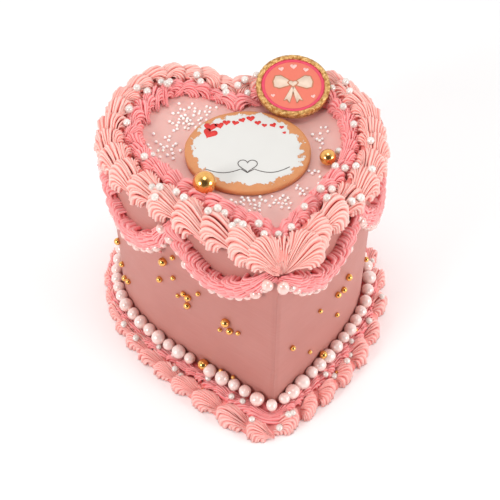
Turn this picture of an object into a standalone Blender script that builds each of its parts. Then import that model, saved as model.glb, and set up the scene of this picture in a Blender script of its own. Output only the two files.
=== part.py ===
"""Heart shaped celebration cake, iced in pink.

A tall heart of cake under smooth icing. Piped shells run round the top edge in two rows, eight
ruffled swags hang on the wall with sugar pearls under them, and two rows of shells and a row of
large sugar pearls run round the foot. On top lie an oval biscuit plaque, a round biscuit medallion
that leans on the back of the border, and two gold balls.

Every size below is in millimetres, and mm() turns a point into Blender's metres. +Z is up, the tip
of the heart points to -Y, and the whole cake ends up centred over the origin with its foot at z = 0.
"""
import math
import random

import bmesh
import bpy
from mathutils import Matrix, Vector

# Driving sizes of the iced heart, seen from above
CAKE_HEIGHT = 148.0
EDGE_ROUND = 4.0
GAP = 0.3
CURVE_STEPS = 10
TIP_STEPS = 3
CLEFT_GROWTH = 1.15
CLEFT_HANDLE = (6.0, 2.5)

# The wall: where the tip, the widest points, the lobes and the cleft are
WALL = {
    "tip": (20.5, -95.0),
    "tip_round": 5.0,
    "cleft": (-7.0, 61.0),
    "left": {"leave": 38.0, "reach": 35.0, "wide": (-87.5, 16.0), "swell": 52.0, "lobe": (-45.0, 74.0)},
    "right": {"leave": 48.0, "reach": 50.0, "wide": (84.5, 9.0), "swell": 33.0, "lobe": (44.0, 70.0)},
}
# The inner edge of the piped border, on the cake's top
INNER_EDGE = {
    "tip": (20.0, -59.0),
    "tip_round": 3.0,
    "cleft": (-6.0, 42.0),
    "left": {"leave": 36.0, "reach": 24.0, "wide": (-65.0, 18.0), "swell": 26.0, "lobe": (-39.0, 56.0)},
    "right": {"leave": 50.0, "reach": 30.0, "wide": (61.5, 16.0), "swell": 24.0, "lobe": (38.0, 53.0)},
}
# The outer edge of the piping at the foot, which reaches furthest at the front
FOOT_EDGE = {
    "tip": (14.5, -123.5),
    "tip_round": 22.0,
    "cleft": (-7.0, 83.0),
    "left": {"leave": 34.0, "reach": 68.0, "wide": (-101.5, 16.0), "swell": 50.0, "lobe": (-45.0, 92.0)},
    "right": {"leave": 38.0, "reach": 44.0, "wide": (102.5, 9.0), "swell": 58.0, "lobe": (44.0, 89.0)},
}

# Border round the top edge
OVERHANG = 6.0
WALL_ROOM = 1.4
DIVIDER_SHARE = 0.56
OUTER_SHELL_TOP = 12.0
OUTER_SHELL_DROP = 5.2
INNER_SHELL_TOP = 9.0
TOP_PEARL = 4.6
TOP_PEARL_STEPS = (7.0, 18.0, 26.0, 32.0)
# Length of a shell: a fixed part, and a share of the border's width at that place
OUTER_STEP = (5.0, 0.78)
INNER_STEP = (4.5, 0.5)

# Swags on the wall: arc lengths from the tip at which they meet, and how far they hang
SWAG_ENDS = (6.0, 73.0, 146.0, 206.0, 262.0)
SWAG_END_DEPTH = 10.0
SWAG_DROPS = (24.0, 30.0, 25.0, 22.0)
SWAG_HEIGHT = 10.0
SWAG_OUT = 7.5
SWAG_PEARL = 6.8
SWAG_STOPS = 9
SWAG_SIDES = 5

# Foot of the cake
FOOT_SHELL_TOP = 9.5
FOOT_STEP = 17.4
ROSE_STEP = 14.0
STEP_SHARE = 0.62
STEP_HEIGHT = 6.5
ROSE_TOP = 10.9
FOOT_PEARL = 9.2
FOOT_PEARL_SQUASH = 0.94

# Biscuits and balls on top
PLAQUE_SIZE = (79.0, 71.5, 4.0)
PLAQUE_PLACE = (2.4, 2.4)
MEDALLION_ACROSS = 48.0
MEDALLION_THICK = 3.4
MEDALLION_RIM = (2.6, 1.0)
MEDALLION_STEPS = 28
MEDALLION_PLACE = (31.3, 53.3)
MEDALLION_TILT = 12.5
LARGE_BALL = 14.6
LARGE_BALL_ANGLE = 234.6
LARGE_BALL_LIFT = 2.2
SMALL_BALL = 10.5
SMALL_BALL_PLACE = (52.0, -4.9)

# Gold beads pressed into the wall: arc from the tip (minus is the left side), depth below the top
# edge, and diameter
GOLD_BEADS = (
    (-84, 46, 6.0), (-76, 36, 3.6), (-89, 68, 4.6), (-77, 57, 3.6), (-74, 73, 3.2), (-69, 67, 3.8),
    (-65, 68, 5.0), (-66, 77, 5.0), (-57, 58, 3.4), (-36, 72, 6.2), (-33, 79, 5.0), (-41, 84, 3.2),
    (-27, 77, 3.4), (-128, 108, 4.4), (-135, 112, 4.6), (-138, 100, 4.4), (-141, 79, 5.2),
    (-150, 62, 4.0), (73, 71, 5.0), (68, 79, 4.6), (61, 77, 4.6), (42, 75, 3.4), (63, 101, 3.6),
    (15, 87, 4.0), (34, 112, 3.2), (112, 96, 4.0), (-210, 70, 5.0), (-203, 78, 4.0), (190, 66, 5.0),
    (196, 75, 4.0),
)
# White grains strewn on the top: the middle of each drift, its spread, and how many lie there
GRAIN_DRIFTS = (
    (-34.0, 36.0, 9.0, 6), (-50.0, 8.0, 7.0, 3), (14.0, -42.0, 9.0, 5), (49.0, 14.0, 5.0, 2),
)
GRAIN = 2.2


def mm(*point):
    """A point or size in millimetres, as Blender's metres."""
    return Vector(point) * 0.001


# Outlines seen from above

def bezier(start, start_handle, end_handle, end, steps):
    """Points of a cubic curve, without its last one."""
    points = []
    for step in range(steps):
        t = step / steps
        u = 1 - t
        point = u ** 3 * start + 3 * u * u * t * start_handle
        point += 3 * u * t * t * end_handle + t ** 3 * end
        points.append(point)
    return points


def heart_side(shape, side, grow=0.0, steps=CURVE_STEPS):
    """One half of a heart from the tip to the cleft, grown outwards by grow."""
    half_shape = shape[side]
    sign = 1 if side == "right" else -1
    leave = math.radians(half_shape["leave"])
    other = math.radians(shape["left" if side == "right" else "right"]["leave"])
    away = Vector((sign * math.cos(leave), math.sin(leave)))
    bisector = (away + Vector((-sign * math.cos(other), math.sin(other)))).normalized()
    half = away.angle(bisector)
    tip = Vector(shape["tip"]) - bisector * grow / math.sin(half)
    radius = max(shape["tip_round"] + grow, 0.5)
    centre = tip + bisector * radius / math.sin(half)
    points = []
    for step in range(TIP_STEPS):
        turn = sign * (math.pi / 2 - half) * step / TIP_STEPS
        points.append(centre + Matrix.Rotation(turn, 2) @ (-bisector * radius))
    start = tip + away * radius / math.tan(half)
    wide = Vector(half_shape["wide"]) + Vector((sign * grow, 0))
    lobe = Vector(half_shape["lobe"]) + Vector((0, grow))
    cleft = Vector(shape["cleft"]) + Vector((0, grow * CLEFT_GROWTH))
    below_wide = wide - Vector((0, half_shape["swell"]))
    points += bezier(start, start + away * half_shape["reach"], below_wide, wide, steps)
    for step in range(steps):
        angle = math.pi / 2 * step / steps
        x = lobe.x + (wide.x - lobe.x) * math.cos(angle)
        y = wide.y + (lobe.y - wide.y) * math.sin(angle)
        points.append(Vector((x, y)))
    past_lobe = lobe - Vector((sign * abs(lobe.x - cleft.x) / 2, 0))
    before_cleft = cleft + Vector((sign * CLEFT_HANDLE[0], CLEFT_HANDLE[1]))
    points += bezier(lobe, past_lobe, before_cleft, cleft, steps // 2)
    points.append(cleft)
    return points


def heart_outline(shape, grow=0.0):
    """The whole heart, anticlockwise from the tip."""
    right = heart_side(shape, "right", grow)
    left = heart_side(shape, "left", grow)
    return right[:-1] + left[:0:-1]


class Walk:
    """A path that is walked by distance."""

    def __init__(self, points):
        self.points = [Vector(point) for point in points]
        self.marks = [0.0]
        for before, after in zip(self.points, self.points[1:]):
            self.marks.append(self.marks[-1] + (after - before).length)
        self.length = self.marks[-1]

    def locate(self, distance):
        """The stretch that holds a distance, and how far along that stretch it is."""
        distance = min(max(distance, 0.0), self.length)
        index = 0
        while index < len(self.points) - 2 and distance > self.marks[index + 1]:
            index += 1
        return index, (distance - self.marks[index]) / (self.marks[index + 1] - self.marks[index])

    def at(self, distance):
        """Place and direction at a distance along the path."""
        index, portion = self.locate(distance)
        start, end = self.points[index], self.points[index + 1]
        return start.lerp(end, portion), (end - start).normalized()


# Making and joining solids

def new_object(name, mesh, group):
    thing = bpy.data.objects.new(name, mesh)
    group.objects.link(thing)
    return thing


def mesh_from(build, name):
    """A mesh filled by build(bm), with its faces pointing out."""
    bm = bmesh.new()
    build(bm)
    bmesh.ops.recalc_face_normals(bm, faces=bm.faces)
    mesh = bpy.data.meshes.new(name)
    bm.to_mesh(mesh)
    bm.free()
    return mesh


def loft(bm, rings, closed=False):
    """A solid through rings of equally many points, closed on itself or with a flat cap at each end."""
    loops = [[bm.verts.new(mm(*point)) for point in ring] for ring in rings]
    count = len(loops[0])
    following = loops[1:] + loops[:1] if closed else loops[1:]
    for lower, upper in zip(loops, following):
        for index in range(count):
            after = (index + 1) % count
            bm.faces.new((lower[index], lower[after], upper[after], upper[index]))
    if not closed:
        bm.faces.new(loops[0][::-1])
        bm.faces.new(loops[-1])


def heart_prism(name, outline, low, high, group):
    """An upright prism on a heart outline."""
    curve = bpy.data.curves.new(name, "CURVE")
    curve.dimensions = "2D"
    curve.fill_mode = "BOTH"
    curve.extrude = (high - low) / 2 * 0.001
    spline = curve.splines.new("POLY")
    spline.points.add(len(outline) - 1)
    for point, place in zip(spline.points, outline):
        point.co = (place.x * 0.001, place.y * 0.001, 0, 1)
    spline.use_cyclic_u = True
    guide = bpy.data.objects.new(name + "_outline", curve)
    group.objects.link(guide)
    bpy.context.view_layer.update()
    evaluated = guide.evaluated_get(bpy.context.evaluated_depsgraph_get())
    mesh = bpy.data.meshes.new_from_object(evaluated)
    bpy.data.objects.remove(guide)
    bm = bmesh.new()
    bm.from_mesh(mesh)
    bmesh.ops.remove_doubles(bm, verts=bm.verts, dist=1e-5)
    bmesh.ops.translate(bm, vec=mm(0, 0, (high + low) / 2), verts=bm.verts)
    bmesh.ops.recalc_face_normals(bm, faces=bm.faces)
    bm.to_mesh(mesh)
    bm.free()
    mesh.name = name
    return new_object(name, mesh, group)


def round_top(thing, width):
    """Rounds the upper rim of an upright prism."""
    bm = bmesh.new()
    bm.from_mesh(thing.data)
    top = max(vert.co.z for vert in bm.verts)
    rim = [edge for edge in bm.edges if all(vert.co.z > top - 1e-6 for vert in edge.verts)
           and any(abs(face.normal.z) < 0.5 for face in edge.link_faces)]
    bmesh.ops.bevel(bm, geom=rim, offset=width * 0.001, segments=2, profile=0.5, affect="EDGES")
    bm.to_mesh(thing.data)
    bm.free()


def ball(name, place, across, group, detail=1):
    """A facetted ball: detail 1 has 20 faces, 2 has 80."""
    radius = across / 2 * 0.001
    mesh = mesh_from(lambda bm: bmesh.ops.create_icosphere(bm, subdivisions=detail, radius=radius), name)
    thing = new_object(name, mesh, group)
    thing.location = mm(*place)
    return thing


def fuse(name, pieces, group):
    """Joins pieces into one solid by one Boolean union on a collection."""
    loose = bpy.data.collections.new(name + "_loose")
    bpy.context.scene.collection.children.link(loose)
    for piece in pieces[1:]:
        for holder in list(piece.users_collection):
            holder.objects.unlink(piece)
        loose.objects.link(piece)
    union = pieces[0].modifiers.new("union", "BOOLEAN")
    union.operation = "UNION"
    union.operand_type = "COLLECTION"
    union.collection = loose
    union.solver = "MANIFOLD"
    bpy.context.view_layer.update()
    evaluated = pieces[0].evaluated_get(bpy.context.evaluated_depsgraph_get())
    mesh = bpy.data.meshes.new_from_object(evaluated)
    mesh.transform(pieces[0].matrix_world)
    mesh.name = name
    for piece in pieces:
        bpy.data.objects.remove(piece)
    bpy.data.collections.remove(loose)
    return new_object(name, mesh, group)


def trim(thing, cutter):
    """Cuts a piece by a cutter."""
    cut = thing.modifiers.new(cutter.name, "BOOLEAN")
    cut.solver = "MANIFOLD"
    cut.operation = "DIFFERENCE"
    cut.object = cutter


def finish(thing, name, colour, roughness, metallic=0.0):
    """Gives a piece its material."""
    material = bpy.data.materials.new(name)
    material.use_nodes = True
    shader = material.node_tree.nodes["Principled BSDF"]
    shader.inputs["Base Color"].default_value = (*colour, 1.0)
    shader.inputs["Roughness"].default_value = roughness
    shader.inputs["Metallic"].default_value = metallic
    thing.data.materials.clear()
    thing.data.materials.append(material)


# Rows of piped shells

# How a row swells and tapers within one shell, from its head to its tail: share of length, and size
SHELL_SWELL = ((0.0, 0.62), (0.15, 1.0), (0.60, 0.84))
SMALL_SHELL_SWELL = ((0.0, 0.66), (0.25, 1.0))
TIP_SWELL = 0.9
# The same along one pearl of the foot
PEARL_SWELL = ((0.0, 0.42), (0.24, 0.96), (0.76, 0.96))
PEARL_SIDES = 5
# How far a small row's arch is drawn in between its ridges, and its number of points
GROOVE = 0.86
ARCH_POINTS = 5


class Lanes:
    """The band between two hearts that have equally many points, walked along the first."""

    def __init__(self, first, second):
        self.first = Walk(first)
        self.second = Walk(second)
        self.length = self.first.length

    def spot(self, distance, share):
        """The point at a distance along, share of the way from the first heart to the second."""
        index, portion = self.first.locate(distance)
        near = self.first.points[index].lerp(self.first.points[index + 1], portion)
        far = self.second.points[index].lerp(self.second.points[index + 1], portion)
        return near.lerp(far, share)

    def band(self, distance):
        return (self.spot(distance, 1.0) - self.spot(distance, 0.0)).length


def shell_stops(lanes, step_rule, swells):
    """Where a row's sections stand, from the cleft to the tip: distance and swell.

    step_rule(band) gives the length of a shell for the band's width at that place. The last section
    is at the tip itself, where the rows from both sides meet.
    """
    heads = [0.0]
    while heads[-1] < lanes.length:
        heads.append(heads[-1] + step_rule(lanes.band(lanes.length - heads[-1])))
    stretch = lanes.length / heads[-1]
    stops = []
    for head, tail in zip(heads, heads[1:]):
        for share, swell in swells:
            stops.append(((head + (tail - head) * share) * stretch, swell))
    return stops + [(lanes.length, TIP_SWELL)]


def piped_ring(name, near, far, step_rule, section, group, swells=SHELL_SWELL):
    """A closed row of shells round the heart, every tail towards the tip.

    near(side) and far(side) are the lanes' outlines from the tip to the cleft, and section(swell,
    band) gives the row's cut as pairs of share across the lanes and height.
    """
    rings = []
    for side in ("right", "left"):
        lanes = Lanes(near(side), far(side))
        half = []
        for distance, swell in shell_stops(lanes, step_rule, swells):
            from_tip = lanes.length - distance
            cut = section(swell, lanes.band(from_tip))
            half.append([(*lanes.spot(from_tip, share), height) for share, height in cut])
        rings += half[:0:-1] if side == "right" else half[:-1]
    return new_object(name, mesh_from(lambda bm: loft(bm, rings, closed=True), name), group)


def dome(low, high, base, top, swell):
    """A ridged arch between two shares across the lanes, flat underneath."""
    middle = (low + high) / 2
    half = (high - low) / 2 * (0.75 + 0.25 * swell)
    rise = (top - base) * swell
    cut = []
    for point in range(ARCH_POINTS):
        angle = math.pi * point / (ARCH_POINTS - 1)
        reach = 1.0 if point % 2 == 0 else GROOVE
        cut.append((middle - half * math.cos(angle) * reach, base + rise * math.sin(angle) * reach))
    cut[0] = (middle - half, base)
    cut[-1] = (middle + half, base)
    return cut


def outward(along, side):
    """The level direction away from the cake, for a direction from the tip towards the cleft."""
    return Vector((along.y, -along.x)) * (1 if side == "right" else -1)


def wall_side(side):
    return heart_side(WALL, side)


def inner_side(side):
    return heart_side(INNER_EDGE, side)


def overhanging_section(swell, band):
    """The outer row's cut: it lies on the top, goes over the rounded edge and hangs outside the wall."""
    out = -OVERHANG * (0.45 + 0.55 * swell) / band
    low = CAKE_HEIGHT - OUTER_SHELL_DROP * (0.5 + 0.5 * swell)
    top = OUTER_SHELL_TOP * swell
    inner = DIVIDER_SHARE - 3 * GAP / band
    arch = [(inner, 1.5 * GAP), (inner * 0.92, top * 0.55), (inner * 0.62, top * 0.82), (inner * 0.34, top),
            (out * 0.05, top * 0.80), (out * 0.70, top * 0.72), (out, top * 0.18)]
    cut = [(place, CAKE_HEIGHT + height) for place, height in arch]
    cut.append((out * 0.62, low))
    cut.append((-WALL_ROOM / band, low))
    cut.append((-WALL_ROOM / band, CAKE_HEIGHT - EDGE_ROUND * 0.6))
    cut.append((EDGE_ROUND * 0.2 / band, CAKE_HEIGHT - EDGE_ROUND * 0.1))
    cut.append((EDGE_ROUND * 0.7 / band, CAKE_HEIGHT + 1.5 * GAP))
    return cut


def inner_section(swell, band):
    divider = DIVIDER_SHARE + 3 * GAP / band
    return dome(divider, 1.0, CAKE_HEIGHT + GAP, CAKE_HEIGHT + INNER_SHELL_TOP, swell)


def foot_near(side):
    return heart_side(WALL, side, 2 * GAP)


def foot_far(side):
    return heart_side(FOOT_EDGE, side)


def foot_section(swell, band):
    """The lowest row's cut: a shell at the very foot, with a step behind it for the rose row."""
    step = STEP_SHARE + GAP / band
    high = step + (1.0 - step) * (0.35 + 0.65 * swell)
    crown = FOOT_SHELL_TOP * swell
    return [(0.0, 0.0), (0.0, STEP_HEIGHT), (step, STEP_HEIGHT), (step + 0.02, crown),
            ((step + high) / 2, crown * 0.96), (high - 0.03, crown * 0.62),
            (high, crown * 0.2), (high - 0.06, 0.0)]


def rose_section(swell, band):
    return dome(0.0, STEP_SHARE - 5 * GAP / band, STEP_HEIGHT + GAP, ROSE_TOP, swell)


def bare_top(place):
    """Whether a grain has room on the cake's top, clear of the border and of what lies there."""
    margin = GRAIN / 2 + 2 * GAP
    length, width = PLAQUE_SIZE[:2]
    away = place - Vector(PLAQUE_PLACE)
    if math.hypot(away.x / (length / 2 + margin), away.y / (width / 2 + margin)) < 1:
        return False
    for centre, across in ball_places():
        if (place - Vector(centre[:2])).length < across / 2 + margin:
            return False
    if (place - Vector(MEDALLION_PLACE)).length < MEDALLION_ACROSS / 2 + margin:
        return False
    edge = heart_outline(INNER_EDGE, -margin)
    inside = False
    for before, after in zip(edge, edge[1:] + edge[:1]):
        if (before.y > place.y) != (after.y > place.y):
            crossing = before.x + (place.y - before.y) * (after.x - before.x) / (after.y - before.y)
            inside ^= place.x < crossing
    return inside


def build_cake(group):
    """The iced heart, with gold beads in its wall and white grains on its top."""
    body = heart_prism("body", heart_outline(WALL), 0, CAKE_HEIGHT, group)
    round_top(body, EDGE_ROUND)
    pieces = [body]
    walks = {side: Walk(heart_side(WALL, side)) for side in ("left", "right")}
    for arc, depth, across in GOLD_BEADS:
        side = "right" if arc > 0 else "left"
        place, along = walks[side].at(abs(arc))
        place = place + outward(along, side) * across * 0.28
        pieces.append(ball("bead", (place.x, place.y, CAKE_HEIGHT - depth), across, group))
    draw = random.Random(5)
    for x, y, spread, count in GRAIN_DRIFTS:
        laid = 0
        while laid < count:
            place = Vector((x + draw.gauss(0, spread), y + draw.gauss(0, spread)))
            if bare_top(place):
                pieces.append(ball("grain", (*place, CAKE_HEIGHT + GRAIN * 0.25), GRAIN, group))
                laid += 1
    return fuse("cake", pieces, group)


def build_top_border(group):
    """The light outer row and the rose inner row round the top edge, with white pearls."""
    outer = piped_ring("top_border_outer", wall_side, inner_side,
                       lambda band: OUTER_STEP[0] + OUTER_STEP[1] * band, overhanging_section, group)
    inner = piped_ring("rose_row", wall_side, inner_side,
                       lambda band: INNER_STEP[0] + INNER_STEP[1] * band, inner_section, group)
    pearls = []
    draw = random.Random(11)
    height = CAKE_HEIGHT + INNER_SHELL_TOP * 0.6
    for side in ("left", "right"):
        lanes = Lanes(wall_side(side), inner_side(side))
        distance = 2 * TOP_PEARL
        while distance < lanes.length - 2 * TOP_PEARL:
            place = lanes.spot(distance, DIVIDER_SHARE + TOP_PEARL * 0.75 / lanes.band(distance))
            pearls.append(ball("pearl", (*place, height), TOP_PEARL, group))
            distance += draw.choice(TOP_PEARL_STEPS)
    return outer, fuse("top_border_inner", [inner] + pearls, group)


def build_swag(index, side, start, end, drop, group):
    """One ruffled swag on the wall and the pearls that hang under it."""
    wall = Walk(heart_side(WALL, side, GAP))
    rings = []
    pearls = []
    for stop in range(SWAG_STOPS):
        share = stop / (SWAG_STOPS - 1)
        place, along = wall.at(start + (end - start) * share)
        out = outward(along, side)
        sink = drop * (1 - (2 * share - 1) ** 2)
        height = CAKE_HEIGHT - SWAG_END_DEPTH - sink
        swell = (0.62 + 0.38 * math.sin(math.pi * share) ** 0.5) * (1.0 if stop % 2 else 0.84)
        ring = []
        for point in range(SWAG_SIDES):
            angle = math.pi * point / (SWAG_SIDES - 1)
            spot = place + out * (GAP + SWAG_OUT * swell * math.sin(angle))
            ring.append((spot.x, spot.y, height + SWAG_HEIGHT / 2 * swell * math.cos(angle)))
        rings.append(ring)
        if 0 < stop < SWAG_STOPS - 1:
            spot = place + out * (GAP + SWAG_PEARL / 2)
            low = height - SWAG_HEIGHT / 2 * swell - SWAG_PEARL * 0.3
            pearls.append(ball("hanging", (spot.x, spot.y, low), SWAG_PEARL, group))
    rope = new_object("rope", mesh_from(lambda bm: loft(bm, rings), "rope"), group)
    return fuse(f"swag_{index}", [rope] + pearls, group)


def build_foot(group):
    """The light shells at the very foot, the rose shells behind them and the ring of pearls."""
    outer = piped_ring("foot_border_outer", foot_near, foot_far, lambda band: FOOT_STEP, foot_section, group)
    rose = piped_ring("foot_border_rose", foot_near, foot_far, lambda band: ROSE_STEP, rose_section, group,
                      SMALL_SHELL_SWELL)
    pearls = pearl_ring("foot_pearls", group)
    return outer, rose, pearls


def pearl_ring(name, group):
    """Large pearls of uneven size, strung in one closed ring that lies on the rose row."""
    draw = random.Random(3)
    rings = []
    near = heart_outline(WALL, 2 * GAP)
    far = heart_outline(FOOT_EDGE)
    lanes = Lanes(near + near[:1], far + far[:1])
    count = round(lanes.length / FOOT_PEARL)
    for index in range(count):
        across = FOOT_PEARL * draw.uniform(0.92, 1.06)
        for share, swell in PEARL_SWELL:
            distance = lanes.length * (index + share) / count
            band = lanes.band(distance)
            ring = []
            for point in range(PEARL_SIDES):
                angle = 2 * math.pi * (point + 0.5) / PEARL_SIDES
                away = FOOT_PEARL * 0.56 + across / 2 * swell * math.cos(angle)
                height = ROSE_TOP + GAP + across / 2 * FOOT_PEARL_SQUASH * (1 + swell * math.sin(angle))
                ring.append((*lanes.spot(distance, away / band), height))
            rings.append(ring)
    return new_object(name, mesh_from(lambda bm: loft(bm, rings, closed=True), name), group)


def build_plaque(group):
    """The oval biscuit that lies flat on the top."""
    length, width, thick = PLAQUE_SIZE
    place = mm(*PLAQUE_PLACE, CAKE_HEIGHT + GAP + thick / 2)
    bpy.ops.mesh.primitive_cylinder_add(vertices=28, radius=0.5, depth=thick * 0.001, location=place)
    plaque = adopt("plaque", group)
    plaque.data.transform(Matrix.Diagonal((length * 0.001, width * 0.001, 1, 1)))
    soften = plaque.modifiers.new("edge", "BEVEL")
    soften.width = 0.0007
    soften.segments = 1
    return plaque


def build_medallion(group, margin=0.0, name="medallion"):
    """The round biscuit with a raised rim: it rests on the plaque's edge and leans on the border."""
    radius = MEDALLION_ACROSS / 2 + margin
    rim, rim_height = MEDALLION_RIM
    low = -MEDALLION_THICK / 2 - margin
    high = MEDALLION_THICK / 2 + margin
    slope = rim_height * 0.6
    profile = ((0, high), (radius - rim - slope, high), (radius - rim, high + rim_height),
               (radius, high + rim_height), (radius, low), (0, low))
    mesh = bpy.data.meshes.new(name)
    mesh.from_pydata([mm(x, 0, z) for x, z in profile], [(i, i + 1) for i in range(len(profile) - 1)], [])
    medallion = new_object(name, mesh, group)
    turn = medallion.modifiers.new("turn", "SCREW")
    turn.steps = MEDALLION_STEPS
    turn.render_steps = MEDALLION_STEPS
    turn.use_merge_vertices = True
    turn.merge_threshold = 0.00001
    tilt = math.radians(MEDALLION_TILT)
    rest = CAKE_HEIGHT + GAP + PLAQUE_SIZE[2] + GAP
    rise = MEDALLION_ACROSS / 2 * math.sin(tilt) + MEDALLION_THICK / 2 * math.cos(tilt)
    medallion.location = mm(*MEDALLION_PLACE, rest + rise)
    medallion.rotation_euler = (tilt, 0, 0)
    return medallion


def adopt(name, group):
    """Names the object that an operator has just added and moves it to a collection."""
    thing = bpy.context.active_object
    for holder in list(thing.users_collection):
        holder.objects.unlink(thing)
    group.objects.link(thing)
    thing.name = name
    thing.data.name = name
    return thing


def ball_places():
    """Where the two gold balls rest: one held up between plaque and border, one on the right."""
    angle = math.radians(LARGE_BALL_ANGLE)
    length, width = PLAQUE_SIZE[:2]
    rim = Vector((length / 2 * math.cos(angle), width / 2 * math.sin(angle)))
    normal = Vector((rim.x / length ** 2, rim.y / width ** 2)).normalized()
    above_edge = LARGE_BALL_LIFT + LARGE_BALL / 2 - PLAQUE_SIZE[2]
    reach = math.sqrt((LARGE_BALL / 2 + GAP) ** 2 - above_edge ** 2)
    centre = Vector(PLAQUE_PLACE) + rim + normal * reach
    return ((*centre, CAKE_HEIGHT + GAP + LARGE_BALL_LIFT + LARGE_BALL / 2), LARGE_BALL), (
        (*SMALL_BALL_PLACE, CAKE_HEIGHT + GAP + SMALL_BALL / 2), SMALL_BALL)


def centre_over_origin(things, root):
    """Moves everything so that the bounding box stands centred over the origin."""
    bpy.context.view_layer.update()
    graph = bpy.context.evaluated_depsgraph_get()
    corners = []
    for thing in things:
        evaluated = thing.evaluated_get(graph)
        mesh = evaluated.to_mesh()
        corners += [thing.matrix_world @ vert.co for vert in mesh.vertices]
        evaluated.to_mesh_clear()
    lows = [min(corner[axis] for corner in corners) for axis in range(3)]
    highs = [max(corner[axis] for corner in corners) for axis in range(3)]
    root.location = (-(lows[0] + highs[0]) / 2, -(lows[1] + highs[1]) / 2, -lows[2])


def main():
    for thing in list(bpy.data.objects):
        bpy.data.objects.remove(thing)
    group = bpy.data.collections.new("heart_cake")
    cutters = bpy.data.collections.new("cutters")
    for collection in (group, cutters):
        bpy.context.scene.collection.children.link(collection)

    cake = build_cake(group)
    top_outer, top_inner = build_top_border(group)
    plaque = build_plaque(group)
    medallion = build_medallion(group)
    medallion_room = build_medallion(cutters, GAP, "medallion_room")
    trim(top_outer, medallion_room)
    trim(top_inner, medallion_room)
    balls = []
    for name, (place, across) in zip(("gold_ball_large", "gold_ball_small"), ball_places()):
        balls.append(ball(name, place, across, group, 2))
        trim(top_inner, ball(name + "_room", place, across + 2 * GAP, cutters, 2))
    swags = []
    for side in ("left", "right"):
        for start, end, drop in zip(SWAG_ENDS, SWAG_ENDS[1:], SWAG_DROPS):
            swags.append(build_swag(len(swags) + 1, side, start + GAP, end - GAP, drop, group))
    foot_outer, foot_rose, foot_pearls = build_foot(group)
    clearance = heart_prism("cake_clearance", heart_outline(WALL, GAP), -1.0, CAKE_HEIGHT + GAP, cutters)
    round_top(clearance, EDGE_ROUND)
    for piece in (top_outer, foot_outer, foot_rose, foot_pearls):
        trim(piece, clearance)

    light_pink = (0.93, 0.50, 0.47)
    rose = (0.84, 0.22, 0.28)
    finish(cake, "dusty_rose_icing", (0.72, 0.33, 0.31), 0.6)
    for piece in (top_outer, foot_outer):
        finish(piece, "light_pink_icing", light_pink, 0.5)
    for piece in (top_inner, foot_rose, *swags):
        finish(piece, "rose_icing", rose, 0.5)
    finish(foot_pearls, "sugar_pearl", (0.93, 0.66, 0.62), 0.3)
    finish(plaque, "plaque_biscuit", (0.80, 0.45, 0.22), 0.5)
    finish(medallion, "medallion_biscuit", (0.78, 0.25, 0.20), 0.5)
    for golden in balls:
        finish(golden, "gold_lustre", (0.60, 0.29, 0.03), 0.25, 1.0)

    things = [cake, top_outer, top_inner, foot_outer, foot_rose, foot_pearls, plaque, medallion]
    things += swags + balls
    root = bpy.data.objects.new("cake_root", None)
    group.objects.link(root)
    for thing in list(group.objects) + list(cutters.objects):
        if thing is not root:
            thing.parent = root
    for cutter in cutters.objects:
        cutter.hide_render = True
        cutter.display_type = "WIRE"
    centre_over_origin(things, root)


main()
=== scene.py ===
"""Dresses the heart shaped cake: smooth icing, piped fans, ruffled swags, sugar pearls and biscuits.

Places and sizes are in millimetres in the heart's own frame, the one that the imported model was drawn
in: the tip points to -Y. to_frame() turns them into the model's metres. Piping is made the way a star
nozzle makes it, as ridges that leave a shell's tail together and fan out to its head.
"""

import math

import bmesh
import bpy
import numpy as np
from mathutils import Matrix, Vector, noise
from mathutils.bvhtree import BVHTree


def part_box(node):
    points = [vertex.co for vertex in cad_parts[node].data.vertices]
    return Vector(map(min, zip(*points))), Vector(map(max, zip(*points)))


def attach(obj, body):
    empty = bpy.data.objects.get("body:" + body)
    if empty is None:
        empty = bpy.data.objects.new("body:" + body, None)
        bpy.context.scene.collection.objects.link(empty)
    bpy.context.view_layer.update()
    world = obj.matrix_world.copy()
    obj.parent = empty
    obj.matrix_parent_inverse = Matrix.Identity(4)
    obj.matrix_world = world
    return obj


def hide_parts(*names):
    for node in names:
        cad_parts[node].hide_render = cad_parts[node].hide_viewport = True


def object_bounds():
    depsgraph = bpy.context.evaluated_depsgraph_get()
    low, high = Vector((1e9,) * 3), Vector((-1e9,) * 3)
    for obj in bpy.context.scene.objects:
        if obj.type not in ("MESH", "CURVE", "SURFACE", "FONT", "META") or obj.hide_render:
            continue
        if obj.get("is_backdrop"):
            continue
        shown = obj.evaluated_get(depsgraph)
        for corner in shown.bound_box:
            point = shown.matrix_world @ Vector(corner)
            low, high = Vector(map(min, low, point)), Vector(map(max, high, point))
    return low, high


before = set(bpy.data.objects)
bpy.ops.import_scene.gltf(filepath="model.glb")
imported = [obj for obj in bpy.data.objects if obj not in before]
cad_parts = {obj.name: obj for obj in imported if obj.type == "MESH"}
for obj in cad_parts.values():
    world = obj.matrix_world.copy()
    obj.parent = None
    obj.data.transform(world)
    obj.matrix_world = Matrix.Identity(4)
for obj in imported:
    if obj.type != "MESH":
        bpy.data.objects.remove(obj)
cad_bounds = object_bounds()

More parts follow.
